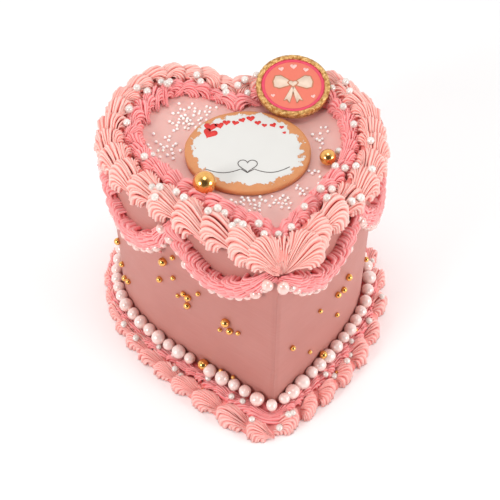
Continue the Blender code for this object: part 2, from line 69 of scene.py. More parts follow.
# The iced heart, seen from above, and what stands on it
CAKE_HEIGHT = 148.0
EDGE_ROUND = 4.0
WALL = {
    "tip": (20.5, -95.0),
    "tip_round": 5.0,
    "cleft": (-7.0, 61.0),
    "left": {"leave": 38.0, "reach": 35.0, "wide": (-87.5, 16.0), "swell": 52.0, "lobe": (-45.0, 74.0)},
    "right": {"leave": 48.0, "reach": 50.0, "wide": (84.5, 9.0), "swell": 33.0, "lobe": (44.0, 70.0)},
}
INNER_EDGE = {
    "tip": (20.0, -59.0),
    "tip_round": 3.0,
    "cleft": (-6.0, 42.0),
    "left": {"leave": 36.0, "reach": 24.0, "wide": (-65.0, 18.0), "swell": 26.0, "lobe": (-39.0, 56.0)},
    "right": {"leave": 50.0, "reach": 30.0, "wide": (61.5, 16.0), "swell": 24.0, "lobe": (38.0, 53.0)},
}
# The outer edge of the piping at the foot
FOOT_EDGE = {
    "tip": (14.5, -123.5),
    "tip_round": 22.0,
    "cleft": (-7.0, 83.0),
    "left": {"leave": 34.0, "reach": 68.0, "wide": (-101.5, 16.0), "swell": 50.0, "lobe": (-45.0, 92.0)},
    "right": {"leave": 38.0, "reach": 44.0, "wide": (102.5, 9.0), "swell": 58.0, "lobe": (44.0, 89.0)},
}
SIDES = ("left", "right")
CURVE_STEPS = 30
TIP_STEPS = 6
CLEFT_GROWTH = 1.15
CLEFT_HANDLE = (6.0, 2.5)

# Border round the top edge: how far it stands out over the wall, the outer row's share of its
# breadth, and how long a shell of each row is, as a fixed part and a share of the breadth
OVERHANG = 6.0
DIVIDER_SHARE = 0.56
OUTER_STEP = (0.5, 0.66)
INNER_STEP = (8.0, 0.14)
TOP_PEARL = 5.0
# Loose pearls are let down from this height over the top or the table
FALL_HEIGHT = 20.0

# The fans that meet at the tip: the way they point, tail to middle, head, half width, and where their
# heads end along the border
TIP_TAIL = (23.6, -92.5)
TIP_FANS = {"left": (134.0, 14.5, 9.5, 12.5, 12.5), "right": (54.0, 18.0, 11.5, 13.0, 25.0)}
# The way a low filler fan between them points
TIP_FILLER = 94.0

# Swags: where they meet, as arcs from the tip, and how far they hang
SWAG_ENDS = (6.0, 73.0, 146.0, 206.0, 262.0)
SWAG_END_DEPTH = 10.0
SWAG_DROPS = (24.0, 30.0, 25.0, 22.0)
SWAG_TUCK = 5.0
SWAG_PEARL = 6.8
# How far one stroke of a swag carries it on, and how much longer than the arc under them its rope
# and its row of pearls are
SWAG_STROKE = 7.0
ROPE_STRETCH = 1.3
PEARL_STRETCH = 1.2
# The plain cord inside a swag
CORD_RINGS = 24
CORD_SIDES = 8

# Foot: how long a shell is, in the same two parts, how far it turns outwards on each side, where the
# row stops short of the tip, and the place and heading of the shell that lies at the tip instead
FOOT_STEP = (17.2, 0.0)
FOOT_TURN = {"left": 0.2, "right": 0.55}
FOOT_STOP = {"left": 4.5, "right": 2.5}
FOOT_TIP_SHELLS = {"left": ((11.0, -111.0), 160.0), "right": ((26.5, -105.5), 22.0)}
ROSE_TOP = 10.9
FOOT_PEARL = 9.2

# Biscuits: the plaque's length, width and thickness, the width and rise of the medallion's rim, how
# many degrees it leans, and the gap under each of them
PLAQUE_SIZE = (79.0, 71.5, 4.0)
PLAQUE_PLACE = (2.4, 2.4)
MEDALLION_ACROSS = 48.0
MEDALLION_THICK = 3.4
MEDALLION_RIM = (3.4, 1.0)
MEDALLION_PLACE = (31.3, 53.3)
MEDALLION_TILT = 12.5
GAP = 0.3

# Gold beads on the wall: arc from the tip (minus is the left side), depth below the top, diameter
GOLD_BEADS = (
    (-84, 46, 6.0), (-76, 36, 3.6), (-89, 68, 4.6), (-77, 57, 3.6), (-74, 73, 3.2), (-69, 67, 3.8),
    (-65, 68, 5.0), (-66, 77, 5.0), (-57, 58, 3.4), (-36, 72, 6.2), (-33, 79, 5.0), (-41, 84, 3.2),
    (-27, 77, 3.4), (-128, 108, 4.4), (-135, 112, 4.6), (-138, 100, 4.4), (-141, 79, 5.2),
    (-150, 62, 4.0), (73, 71, 5.0), (68, 79, 4.6), (61, 77, 4.6), (42, 75, 3.4), (63, 101, 3.6),
    (15, 87, 4.0), (34, 112, 3.2), (112, 96, 4.0), (-210, 70, 5.0), (-203, 78, 4.0), (190, 66, 5.0),
    (196, 75, 4.0),
)
# White pearls on the top border: distance from the tip (minus is the left side), millimetres inwards
TOP_PEARLS = (
    (-11, 18), (-16, 21), (-27, 13), (-32, 16), (-34, 10), (-42, 15), (-47, 14), (-52, 9), (-71, 9),
    (-79, 11), (-89, 6), (-95, 5), (-87, -1), (-121, 18), (-122, 24), (-131, 14), (-166, 13), (-179, 12),
    (-202, 7), (-207, 12), (-222, 11), (-224, 16), (-229, 12), (-251, 8), (-253, 12), (-272, 9), (-273, 14),
    (1, 24), (15, 19), (33, 21), (55, 20), (64, 15), (52, 11), (66, -1), (72, -4), (83, 22), (86, 16),
    (91, 10), (94, 0), (102, 25), (117, 6), (134, 15), (156, 16), (171, 4), (178, 2), (182, 10), (241, 0),
    (247, 13), (249, 4), (254, 6), (212, 9), (198, 12),
)
# Large pearls where swags meet: arc from the tip, depth, diameter, and how drawn out they are
SWAG_JOINT_PEARLS = (
    (-3.5, 7.0, 7.6, 1.0), (1.5, 8.5, 7.4, 1.35), (-79.0, 9.0, 7.0, 1.0), (70.0, 8.0, 6.0, 1.0),
)
# On the foot: distance from the tip and millimetres outwards; for gold also height and diameter
FOOT_SMALL_PEARL = 4.4
FOOT_SMALL_PEARLS = (
    (-123, 17), (-110, 16), (-94, 18), (-83, 10), (-72, 8), (-59, 18), (-54, 18), (-42, 9), (-21, 12),
    (-14, 11), (-4, 18), (3, 18), (10, 16), (14, 18), (48, 13), (55, 17), (67, 18), (78, 10), (73, 15),
    (98, 13), (115, 16), (-150, 14), (-176, 17), (-198, 11), (-224, 16), (-246, 12), (141, 12), (168, 17),
    (190, 11), (217, 16), (243, 13),
)
FOOT_GOLD_BALL = (-51.0, 4.6, 17.2, 8.0)
FOOT_GOLD_BEADS = (
    (49.5, 3.4, 19.6, 5.8), (-38.5, 3.0, 19.6, 3.2), (-29.5, 2.4, 19.4, 2.8), (-50.0, 17.5, 6.0, 2.8),
    (-37.0, 17.5, 6.0, 2.8), (86.0, 8.0, 11.6, 2.8), (58.0, 16.5, 7.0, 2.6),
)
# Gold beads along the inside of the rose shells, at the front: x, y, diameter
TOP_GOLD_BEADS = ((-7.3, -45.0, 2.8), (-3.4, -45.4, 2.4), (5.4, -51.6, 3.0))
# White grains on the top: the middle of each drift, its spread, and how many lie there
GRAIN_DRIFTS = (
    (-38.0, 40.0, 5.0, 14), (-28.0, 42.0, 4.0, 10), (-33.0, 31.0, 5.0, 12), (-45.0, 27.0, 3.0, 5),
    (-51.0, 12.0, 4.0, 9), (-44.0, 3.0, 4.0, 7), (-56.0, 2.0, 3.0, 4), (7.0, -41.0, 3.2, 16),
    (-1.0, -38.0, 2.4, 5), (23.0, -38.0, 3.4, 13), (34.0, -29.0, 2.4, 7), (47.0, 14.0, 4.0, 7),
    (45.0, -14.0, 3.0, 6), (52.0, 26.0, 3.0, 3),
)
GRAIN = 2.0

# The camera of the photograph, in the heart's frame
CAMERA_PLACE = (4.22, -486.53, 637.53)
CAMERA_DOWN = 49.99
CAMERA_ROLL = 0.41
SENSOR = 36.0
LENS = 79.2
# Where the lights point, in the model's metres
LIGHT_AIM = (0.0, 0.0, 0.1)

plaque_low, plaque_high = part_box("plaque")
SHIFT = np.array([(plaque_low.x + plaque_high.x) * 500 - PLAQUE_PLACE[0],
                  (plaque_low.y + plaque_high.y) * 500 - PLAQUE_PLACE[1], 0.0])


def to_frame(points):
    """Points in the heart's millimetres, as the model's metres."""
    return (np.asarray(points, float) + SHIFT) * 0.001


# Outlines and paths

def shares(count):
    """Shares of a curve's way for a number of points, without its last one."""
    return np.linspace(0, 1, count, endpoint=False)[:, None]


def bezier(t, start, start_handle, end_handle, end):
    """Points of a cubic curve at shares t of its way."""
    u = 1 - t
    return u ** 3 * start + 3 * u * u * t * start_handle + 3 * u * t * t * end_handle + t ** 3 * end


def unit(vectors):
    return vectors / np.maximum(np.linalg.norm(vectors, axis=-1, keepdims=True), 1e-9)


def marks_along(line):
    """How far along a line each of its points is."""
    return np.concatenate([[0.0], np.cumsum(np.linalg.norm(np.diff(line, axis=0), axis=1))])


def heart_side(shape, side, grow=0.0):
    """One half of a heart from the tip to the cleft, grown outwards by grow."""
    half_shape = shape[side]
    sign = 1 if side == "right" else -1
    leave = math.radians(half_shape["leave"])
    other = math.radians(shape["left" if side == "right" else "right"]["leave"])
    away = np.array([sign * math.cos(leave), math.sin(leave)])
    bisector = unit(away + np.array([-sign * math.cos(other), math.sin(other)]))
    half = math.acos(float(away @ bisector))
    tip = np.array(shape["tip"]) - bisector * grow / math.sin(half)
    radius = max(shape["tip_round"] + grow, 0.5)
    centre = tip + bisector * radius / math.sin(half)
    turns = sign * (math.pi / 2 - half) * np.linspace(0, 1, TIP_STEPS, endpoint=False)
    from_centre = -bisector * radius
    arc = centre + np.stack([from_centre[0] * np.cos(turns) - from_centre[1] * np.sin(turns),
                             from_centre[0] * np.sin(turns) + from_centre[1] * np.cos(turns)], -1)
    start = tip + away * radius / math.tan(half)
    wide = np.array(half_shape["wide"]) + (sign * grow, 0)
    lobe = np.array(half_shape["lobe"]) + (0, grow)
    cleft = np.array(shape["cleft"]) + (0, grow * CLEFT_GROWTH)
    flank = bezier(shares(CURVE_STEPS), start, start + away * half_shape["reach"],
                   wide - (0, half_shape["swell"]), wide)
    angles = np.linspace(0, math.pi / 2, CURVE_STEPS, endpoint=False)
    round_lobe = np.stack([lobe[0] + (wide[0] - lobe[0]) * np.cos(angles),
                           wide[1] + (lobe[1] - wide[1]) * np.sin(angles)], -1)
    past_lobe = lobe - (sign * abs(lobe[0] - cleft[0]) / 2, 0)
    before_cleft = cleft + (sign * CLEFT_HANDLE[0], CLEFT_HANDLE[1])
    valley = bezier(shares(CURVE_STEPS // 2), lobe, past_lobe, before_cleft, cleft)
    return np.concatenate([arc, flank, round_lobe, valley, cleft[None]])


def heart_outline(shape, grow=0.0):
    """The whole heart, anticlockwise from the tip."""
    right = heart_side(shape, "right", grow)
    left = heart_side(shape, "left", grow)
    return np.concatenate([right[:-1], left[:0:-1]])


class Lanes:
    """The band between two outlines with equally many points, walked by distance along the first."""

    def __init__(self, first, second):
        self.first = first
        self.second = second
        self.marks = marks_along(first)
        self.length = self.marks[-1]

    def edges(self, distance):
        """The points of both outlines at a distance. Past an end they run straight on."""
        distance = np.asarray(distance, float)
        index = np.clip(np.searchsorted(self.marks, distance, side="right") - 1, 0, len(self.marks) - 2)
        portion = ((distance - self.marks[index]) / (self.marks[index + 1] - self.marks[index]))[..., None]
        return tuple(line[index] + portion * (line[index + 1] - line[index])
                     for line in (self.first, self.second))

    def band(self, distance):
        near, far = self.edges(distance)
        return np.linalg.norm(far - near, axis=-1)


def border_lanes(side):
    return Lanes(heart_side(WALL, side), heart_side(INNER_EDGE, side))


def foot_lanes(side):
    return Lanes(heart_side(WALL, side), heart_side(FOOT_EDGE, side))


def each_side(lanes_of, seed):
    """Each side's name, its lanes, and draws of its own."""
    for number, side in enumerate(SIDES):
        yield side, lanes_of(side), np.random.default_rng(seed + number)


def beside(lanes, level=0.0):
    """Places by distance from the tip, millimetres away from the wall's line, and height over a level."""
    def place(distance, away, height):
        distance, away, height = np.broadcast_arrays(distance, away, height)
        near, far = lanes.edges(distance)
        flat = near + unit(far - near) * away[..., None]
        return np.concatenate([flat, (level + height)[..., None]], -1)
    return place


def on_top(side):
    return beside(border_lanes(side), CAKE_HEIGHT)


def at_foot(side):
    return beside(foot_lanes(side))


def on_wall(side):
    return beside(Lanes(heart_side(WALL, side), heart_side(WALL, side, 10.0)))


def by_sign(place_on, distance, away, height):
    """A place whose distance from the tip also tells its side: minus is the left one."""
    return place_on("right" if distance > 0 else "left")(abs(distance), away, height)


def on_level(origin, heading, level):
    """Places by millimetres ahead of a point and to the left, and height over a level."""
    turn = math.radians(heading)
    ahead = np.array([math.cos(turn), math.sin(turn)])
    left = np.array([-ahead[1], ahead[0]])

    def place(x, y, height):
        flat = np.asarray(origin) + x[..., None] * ahead + y[..., None] * left
        return np.concatenate([flat, (level + height)[..., None]], -1)
    return place


# Meshes

class Heap:
    """Closed bodies that become one mesh, with two numbers on each point for its material.

    crest is 1 on a ridge's back and 0 in the groove beside it, and tone tells one body from the next.
    """

    def __init__(self):
        self.points = []
        self.faces = []
        self.crest = []
        self.tone = []
        self.count = 0

    def put(self, points, faces, crest=1.0, tone=0.5):
        """Adds a body, whose points may come in rings."""
        points = np.reshape(points, (-1, 3))
        self.points.append(points)
        self.faces += [tuple(corner + self.count for corner in face) for face in faces]
        self.crest.append(np.broadcast_to(crest, len(points)))
        self.tone.append(np.full(len(points), tone))
        self.count += len(points)

    def piece(self, name, material, slot, node):
        """One object of everything in the heap, which rides on the cake and stands for a node."""
        points = np.concatenate(self.points)
        points[:, 2] = np.maximum(points[:, 2], 0)
        mesh = bpy.data.meshes.new(name)
        mesh.from_pydata(to_frame(points).tolist(), [], self.faces)
        for attribute, values in (("crest", self.crest), ("tone", self.tone)):
            layer = mesh.attributes.new(attribute, "FLOAT", "POINT")
            layer.data.foreach_set("value", np.concatenate(values).astype(np.float32))
        bm = bmesh.new()
        bm.from_mesh(mesh)
        bmesh.ops.recalc_face_normals(bm, faces=bm.faces)
        bm.to_mesh(mesh)
        bm.free()
        mesh.shade_smooth()
        mesh.materials.append(material)
        thing = bpy.data.objects.new(name, mesh)
        bpy.context.scene.collection.objects.link(thing)
        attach(thing, "root")
        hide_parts(node)


def ring_faces(low, high, sides):
    """Faces between two rings of points, by the number of each ring's first point."""
    return [(low + side, low + (side + 1) % sides, high + (side + 1) % sides, high + side)
            for side in range(sides)]


def tube_faces(tubes, rings, sides):
    """Faces of tubes whose points run tube by tube and ring by ring, closed at both ends."""
    faces = []
    for tube in range(tubes):
        first = tube * rings * sides
        last = first + (rings - 1) * sides
        for low in range(first, last, sides):
            faces += ring_faces(low, low + sides, sides)
        faces.append(tuple(range(first + sides - 1, first - 1, -1)))
        faces.append(tuple(range(last, last + sides)))
    return faces


def loop_faces(rings, sides):
    """Faces of one closed ring of sections."""
    faces = []
    for ring in range(rings):
        faces += ring_faces(ring * sides, (ring + 1) % rings * sides, sides)
    return faces


# A ridge's cut: across, and out from the shell's skin; and how far each point is out of the groove
RIDGE = np.array([(-1.0, -0.30), (-0.60, 0.32), (-0.18, 1.0), (0.18, 1.0), (0.60, 0.32), (1.0, -0.30),
                  (0.9, -2.2), (-0.9, -2.2)])
# The piping's material paints the points where this is 0, in the grooves, a deeper colour as painted shade
RIDGE_CREST = np.array([0.0, 0.4, 1.0, 1.0, 0.4, 0.0, 0.0, 0.0])
# Half a ridge's width as a share of the room between ridges, and its least and most
RIDGE_HALF = 0.60
RIDGE_HALF_LIMITS = (0.25, 3.2)
# A ridge's torn point: where its three last cuts lie and how thick they are; then how thick its tail is
SPIKE_STEPS = (0.4, 0.75, 1.0)
SPIKE_TAPER = (0.85, 0.5, 0.08)
TAIL_TAPER = 0.5
# How unevenly ridges are set, how uneven their lengths are, and how unsteady the hand was
SETTING_DRIFT = 0.12
LENGTH_DRIFT = 0.03
HAND_WOBBLE = 0.1
# Points along a shell's rim when it is measured, and millimetres between the sections of a core
RIM_STEPS = 91
CORE_SPACING = 4.0


def lay_ridges(heap, lines, taper, inside, tone, plump, tallest):
    """Puts piped ridges along centrelines (ridge, sample, xyz), each as wide as the room beside it."""
    along = unit(np.gradient(lines, axis=1))
    across = np.gradient(lines, axis=0)
    across -= along * (across * along).sum(-1, keepdims=True)
    half = np.clip(np.linalg.norm(across, axis=-1) * RIDGE_HALF, *RIDGE_HALF_LIMITS) * taper
    across = unit(across)
    out = np.cross(along, across)
    out *= np.where((out * (lines - inside)).sum(-1, keepdims=True) < 0, -1.0, 1.0)
    rise = np.minimum(half * plump, tallest)
    points = (lines[:, :, None] + across[:, :, None] * (half[..., None] * RIDGE[:, 0])[..., None]
              + out[:, :, None] * (rise[..., None] * RIDGE[:, 1])[..., None])
    ridges, samples = lines.shape[:2]
    heap.put(points, tube_faces(ridges, samples, len(RIDGE)), np.tile(RIDGE_CREST, ridges * samples), tone)


def egg(angle, length, head, inner, outer):
    """Points of a shell's rim: a half circle's bulge at the head, drawn in and out towards the tail."""
    ahead = np.cos(angle)
    side = np.sin(angle) * (1 + 0.8 * np.minimum(ahead, 0))
    return np.stack([np.where(ahead > 0, head, length) * ahead, np.where(side > 0, outer, inner) * side], -1)


def fan(draw, length, head, inner, outer, top, ends, tail, step, spike, crest_at, spread=(106.0, 106.0),
        samples=14, swirl=0.0, hook=(0.42, 0.24), lean=(0.15, 0.15), gather=0.10, dome=(0.2, 0.2)):
    """Centrelines of a piped shell: x runs towards its head, y to its outer side, z up.

    Ridges leave the tail at -length and end on a round rim about the origin, step apart. ends are the
    heights there, on the outer side, at the head and on the inner side, and tail is the tail's place to
    the outer side and its height. crest_at is where along the ridges they are highest, spike how long
    their points are, gather how wide they stand at the tail, and swirl how far those at the head bend to
    the outer side. The pairs are for the inner and the outer side: spread is how far round the rim goes,
    hook how squarely ridges meet it, lean how far they point ahead there, and dome how much lower they lie.
    """
    sweep = np.radians(np.linspace(-spread[0], spread[1], RIM_STEPS))
    marks = marks_along(egg(sweep, length, head, inner, outer))
    ridges = max(5, round(marks[-1] / step))
    spots = (np.arange(ridges) + 0.5 + draw.normal(0, SETTING_DRIFT, ridges)) * marks[-1] / ridges
    angle = np.interp(spots, marks, sweep)
    side = np.sin(angle)
    ahead = np.maximum(np.cos(angle), 0)

    def of_side(pair):
        return np.where(side > 0, pair[1], pair[0])
    rim = egg(angle, length, head, inner, outer) * (1 + draw.normal(0, LENGTH_DRIFT, (ridges, 1)))
    start = np.stack([np.full(ridges, -length), tail[0] + gather * of_side((inner, outer)) * side], -1)
    # A ridge leaves the tail a little less turned than the straight way to its end
    way = rim - start
    span = np.linalg.norm(way, axis=-1, keepdims=True)
    bearing = np.arctan2(way[:, 1], way[:, 0])[:, None] * 0.85
    first = start + 0.42 * span * np.concatenate([np.cos(bearing), np.sin(bearing)], -1)
    outward = unit(np.stack([ahead + of_side(lean), side + swirl * ahead], -1))
    second = rim - of_side(hook)[:, None] * span * outward
    # Its samples lie closer together towards the rim, where it bends most
    share = np.linspace(0, 1, samples)
    t = (1 - (1 - share) ** 1.5)[None, :, None]
    plan = bezier(t, start[:, None], first[:, None], second[:, None], rim[:, None])
    # It swells to its crown and then drops to the rim, more and more steeply
    lower = of_side(dome) * (angle / (math.pi / 2)) ** 2
    crown = (tail[1] + (top - tail[1]) * (1 - lower))[:, None]
    end = np.where(side > 0, ends[0] * side, ends[2] * -side)
    end = (end + ends[1] * ahead ** 2)[:, None]
    rise = tail[1] + (crown - tail[1]) * np.sin(math.pi / 2 * np.minimum(share / crest_at, 1)) ** 1.4
    fall = end + (crown - end) * (1 - np.clip((share - crest_at) / (1 - crest_at), 0, 1) ** 2.2) ** 0.7
    lines = np.concatenate([plan, np.where(share < crest_at, rise, fall)[..., None]], -1)
    lines += np.cumsum(draw.normal(0, HAND_WOBBLE, lines.shape), axis=1)
    # The nozzle is pulled off ahead and down, which draws a point
    down = np.full((ridges, 1), -0.45)
    flick = unit(np.concatenate([outward + draw.normal(0, 0.15, (ridges, 2)), down], -1))
    sizes = spike * draw.uniform(0.5, 1.2, ridges)[:, None]
    points = [(lines[:, -1] + flick * sizes * part)[:, None] for part in SPIKE_STEPS]
    return np.concatenate([lines] + points, 1)


def turned(lines, place, distance, away, yaw, out):
    """Carries a fan's lines to a place rule, turned by yaw towards its outer side."""
    x = lines[..., 0] * math.cos(yaw) - lines[..., 1] * math.sin(yaw)
    y = lines[..., 0] * math.sin(yaw) + lines[..., 1] * math.cos(yaw)
    return place(distance + x, away + out * y, lines[..., 2])


def lay_fan(heap, draw, place, distance, away, plump, tallest=1.25, yaw=0.0, out=1.0, **shape):
    """Pipes one fan at a place, its ridges thin at the tail and pointed at the rim."""
    lines = turned(fan(draw, **shape), place, distance, away, yaw, out)
    middle = np.array([[[-shape["length"] * 0.3, 0.0, -shape["top"] * 0.4]]])
    inside = turned(middle, place, distance, away, yaw, out)
    samples = lines.shape[1] - len(SPIKE_STEPS)
    body = np.minimum(1.0, TAIL_TAPER + (1 - TAIL_TAPER) * np.linspace(0, 1, samples) / 0.25)
    lay_ridges(heap, lines, np.concatenate([body, SPIKE_TAPER]), inside, draw.uniform(0, 1), plump, tallest)


def shell_heads(lanes, step, stop=0.0):
    """Distances from the tip of each shell's head and tail, walked from the cleft down to a stop."""
    heads = [0.0]
    while heads[-1] < lanes.length - stop:
        band = float(lanes.band(lanes.length - heads[-1]))
        heads.append(heads[-1] + (step[0] + step[1] * band))
    stretch = (lanes.length - stop) / heads[-1]
    return [(lanes.length - head * stretch, lanes.length - tail * stretch)
            for head, tail in zip(heads, heads[1:])]


def lay_core(heap, lanes_of, section, level=0.0):
    """A plain closed ring round the heart, under the piping.

    section(band) gives its cut, as millimetres away from the wall's line and height over a level.
    """
    rings = []
    for side in ("right", "left"):
        lanes = lanes_of(side)
        half = []
        for distance in np.linspace(0, lanes.length, int(lanes.length / CORE_SPACING)):
            near, far = lanes.edges(distance)
            band = float(lanes.band(distance))
            half.append([(*(near + (far - near) * (away / band)), level + height)
                         for away, height in section(band)])
        rings += half[:-1] if side == "right" else half[:0:-1]
    # The core takes the groove colour all over (crest 0): painted shade where it shows between the shells
    heap.put(rings, loop_faces(len(rings), len(rings[0])), 0.0)


def ball_points(detail):
    """Points and faces of a ball one millimetre across."""
    bm = bmesh.new()
    bmesh.ops.create_icosphere(bm, subdivisions=detail, radius=0.5)
    points = np.array([vert.co[:] for vert in bm.verts])
    faces = [tuple(vert.index for vert in face.verts) for face in bm.faces]
    bm.free()
    return points, faces


BALLS = {detail: ball_points(detail) for detail in (2, 3, 4)}


def put_ball(heap, draw, centre, across, detail=3, uneven=0.0, stretch=(1, 1, 1)):
    """Adds a sugar ball, lumpy by a share of its size."""
    points, faces = BALLS[detail]
    points = points * stretch
    if uneven:
        sizes = 1 + draw.normal(0, uneven, 3)
        waves = draw.normal(0, 1, (3, 3))
        lumps = 1 + uneven * np.sin(points @ waves.T * 5.0 + draw.uniform(0, 6, 3)).mean(-1, keepdims=True)
        points = points * sizes * lumps
    heap.put(np.asarray(centre) + points * across, faces, tone=draw.uniform(0, 1))


def surface_of(*heaps):
    """What lies in these heaps, to be found from above."""
    whole = Heap()
    for heap in heaps:
        whole.put(np.concatenate(heap.points), heap.faces)
    return BVHTree.FromPolygons(np.concatenate(whole.points).tolist(), whole.faces)


def put_on(surface, heap, draw, spot, across, sunk):
    """Adds a sugar ball where it comes to lie under a spot, sunk in by a share of its size."""
    hit = surface.ray_cast(Vector(spot), Vector((0, 0, -1)))[0]
    if hit is not None:
        put_ball(heap, draw, (spot[0], spot[1], hit.z + across * (0.5 - sunk)), across, uneven=0.01)


# Materials

# For a node that mixes colours: the output with the result, and what it mixes
COLOURS = {"out": 2, "data_type": "RGBA"}


def srgb(code):
    """A colour given as sRGB hex, as the linear values that shaders take."""
    parts = [int(code[index:index + 2], 16) / 255 for index in (1, 3, 5)]
    return (*(part / 12.92 if part <= 0.04045 else ((part + 0.055) / 1.055) ** 2.4 for part in parts), 1.0)


def connect(tree, node, inputs):
    """Puts values or other nodes' sockets on a node's inputs."""
    for name, value in inputs.items():
        if isinstance(value, bpy.types.NodeSocket):
            tree.links.new(value, node.inputs[name])
        else:
            node.inputs[name].default_value = value


def add(tree, kind, inputs, out=0, **settings):
    """Adds a shader node with its inputs and its own settings, and gives the output that is asked for."""
    node = tree.nodes.new("ShaderNode" + kind)
    for name, value in settings.items():
        setattr(node, name, value)
    connect(tree, node, inputs)
    return node.outputs[out]


def new_material(name):
    """A material, its tree, its shader, and the place on the object in metres."""
    material = bpy.data.materials.new(name)
    material.use_nodes = True
    tree = material.node_tree
    return material, tree, tree.nodes["Principled BSDF"], add(tree, "TexCoord", {}, "Object")


def clouded_material(name, scale, detail, low, high):
    """A material with noise between two colours, its tree, its shader and the noise."""
    material, tree, shader, place = new_material(name)
    clouds = add(tree, "TexNoise", {"Vector": place, "Scale": scale, "Detail": detail})
    colour = add(tree, "Mix", {0: clouds, 6: srgb(low), 7: srgb(high)}, **COLOURS)
    connect(tree, shader, {"Base Color": colour})
    return material, tree, shader, clouds


def piped_buttercream(name, crest, painted_groove_colour, shade):
    """Buttercream squeezed through a star nozzle: matt fat and sugar that lets a little light in.

    The backs of the ridges are painted pale and the grooves between them deeper pink: painted light and
    shade, standing in for light caught between the ridges.
    """
    material, tree, shader, place = new_material(name)
    ridge = add(tree, "Attribute", {}, "Fac", attribute_name="crest")
    tone = add(tree, "Attribute", {}, "Fac", attribute_name="tone")
    # Streaks of unevenly mixed colour, about 6 mm apart
    streaks = add(tree, "TexNoise", {"Vector": place, "Scale": 160.0, "Detail": 3.0})
    # Painted light and shade: ridge backs (crest 1) take the paler crest colour, the grooves (crest 0) the
    # deeper groove colour
    bend = add(tree, "Math", {0: ridge, 1: 0.8}, operation="POWER")
    ridge_painted_shade = add(tree, "Mix", {0: bend, 6: srgb(painted_groove_colour), 7: srgb(crest)}, **COLOURS)
    amount = add(tree, "Math", {0: tone, 1: 0.30}, operation="MULTIPLY")
    varied = add(tree, "Math", {0: streaks, 1: 0.35, 2: amount}, operation="MULTIPLY_ADD")
    colour = add(tree, "Mix", {0: varied, 6: ridge_painted_shade, 7: srgb(shade)}, **COLOURS)
    # Sugar grit of a few tenths of a millimetre
    grit = add(tree, "TexNoise", {"Vector": place, "Scale": 1800.0, "Detail": 2.0})
    bump = add(tree, "Bump", {"Strength": 0.18, "Distance": 0.0003, "Height": grit})
    connect(tree, shader, {"Base Color": colour, "Roughness": 0.36, "IOR": 1.45, "Normal": bump,
                           "Subsurface Weight": 0.08, "Subsurface Radius": (1.0, 0.32, 0.26),
                           "Subsurface Scale": 0.0005})
    return material


def smoothed_buttercream():
    """Buttercream scraped smooth round the side: faint level scraper lines and cloudy colour, and a top
    painted paler as painted light.
    """
    material, tree, shader, place = new_material("smoothed_buttercream")
    # Scraper lines a millimetre or two apart, drawn out 12 times as long as they are high
    stretched = add(tree, "Mapping", {"Vector": place, "Scale": (1.0, 1.0, 12.0)})
    lines = add(tree, "TexNoise", {"Vector": stretched, "Scale": 55.0, "Detail": 6.0})
    # Clouds about 40 mm across
    clouds = add(tree, "TexNoise", {"Vector": place, "Scale": 26.0, "Detail": 4.0})
    mixed = add(tree, "Math", {0: lines, 1: 0.5, 2: clouds}, operation="MULTIPLY_ADD")
    share = add(tree, "MapRange", {"Value": mixed, "From Min": 0.5, "From Max": 1.0})
    scraped = add(tree, "Mix", {0: share, 6: srgb("#B9766D"), 7: srgb("#C07F76")}, **COLOURS)
    # Painted light: the level top is painted paler than the scraped side, as overhead light and sheen make
    # it look, though it is the same icing
    height = add(tree, "SeparateXYZ", {"Vector": place}, "Z")
    level = add(tree, "MapRange", {"Value": height, "From Min": (CAKE_HEIGHT - 1.8) * 0.001,
                                   "From Max": (CAKE_HEIGHT - 0.2) * 0.001})
    painted_lit_top = add(tree, "Mix", {0: clouds, 6: srgb("#DFA9A1"), 7: srgb("#EBC0B8")}, **COLOURS)
    colour = add(tree, "Mix", {0: level, 6: scraped, 7: painted_lit_top}, **COLOURS)
    # Sugar grit of about a millimetre
    grit = add(tree, "TexNoise", {"Vector": place, "Scale": 900.0, "Detail": 3.0})
    relief = add(tree, "Math", {0: grit, 1: 0.35, 2: lines}, operation="MULTIPLY_ADD")
    bump = add(tree, "Bump", {"Strength": 0.30, "Distance": 0.0004, "Height": relief})
    connect(tree, shader, {"Base Color": colour, "Roughness": 0.52, "IOR": 1.45, "Normal": bump,
                           "Subsurface Weight": 0.15, "Subsurface Radius": (1.0, 0.4, 0.3),
                           "Subsurface Scale": 0.003})
    return material


def sugar_pearl(name, light, shade, roughness, inner_light):
    """A pressed sugar ball in pearl lustre: mica and titanium dioxide glint brightly over a milky body."""
    material, tree, shader, place = new_material(name)
    tone = add(tree, "Attribute", {}, "Fac", attribute_name="tone")
    # Milky clouds about 4 mm across
    clouds = add(tree, "TexNoise", {"Vector": place, "Scale": 260.0, "Detail": 2.0})
    share = add(tree, "Math", {0: tone, 1: 0.4, 2: clouds}, operation="MULTIPLY_ADD")
    colour = add(tree, "Mix", {0: share, 6: srgb(light), 7: srgb(shade)}, **COLOURS)
    bump = add(tree, "Bump", {"Strength": 0.12, "Distance": 0.0005, "Height": clouds})
    connect(tree, shader, {"Base Color": colour, "Roughness": roughness, "IOR": 1.55, "Normal": bump,
                           "Subsurface Weight": inner_light, "Subsurface Radius": (1.0, 0.7, 0.6),
                           "Subsurface Scale": 0.003, "Coat Weight": 1.0, "Coat Roughness": 0.10,
                           "Coat IOR": 2.0})
    return material


def gold_lustre():
    """Sugar balls rolled in gold lustre: a metal skin, a touch dull and rubbed in patches of 2 mm."""
    material, tree, shader, rubbed = clouded_material("gold_lustre", 420.0, 4.0, "#E6A249", "#F3C072")
    dull = add(tree, "MapRange", {"Value": rubbed, "To Min": 0.10, "To Max": 0.24})
    connect(tree, shader, {"Metallic": 1.0, "Roughness": dull, "Coat Weight": 0.5, "Coat Roughness": 0.08})
    return material


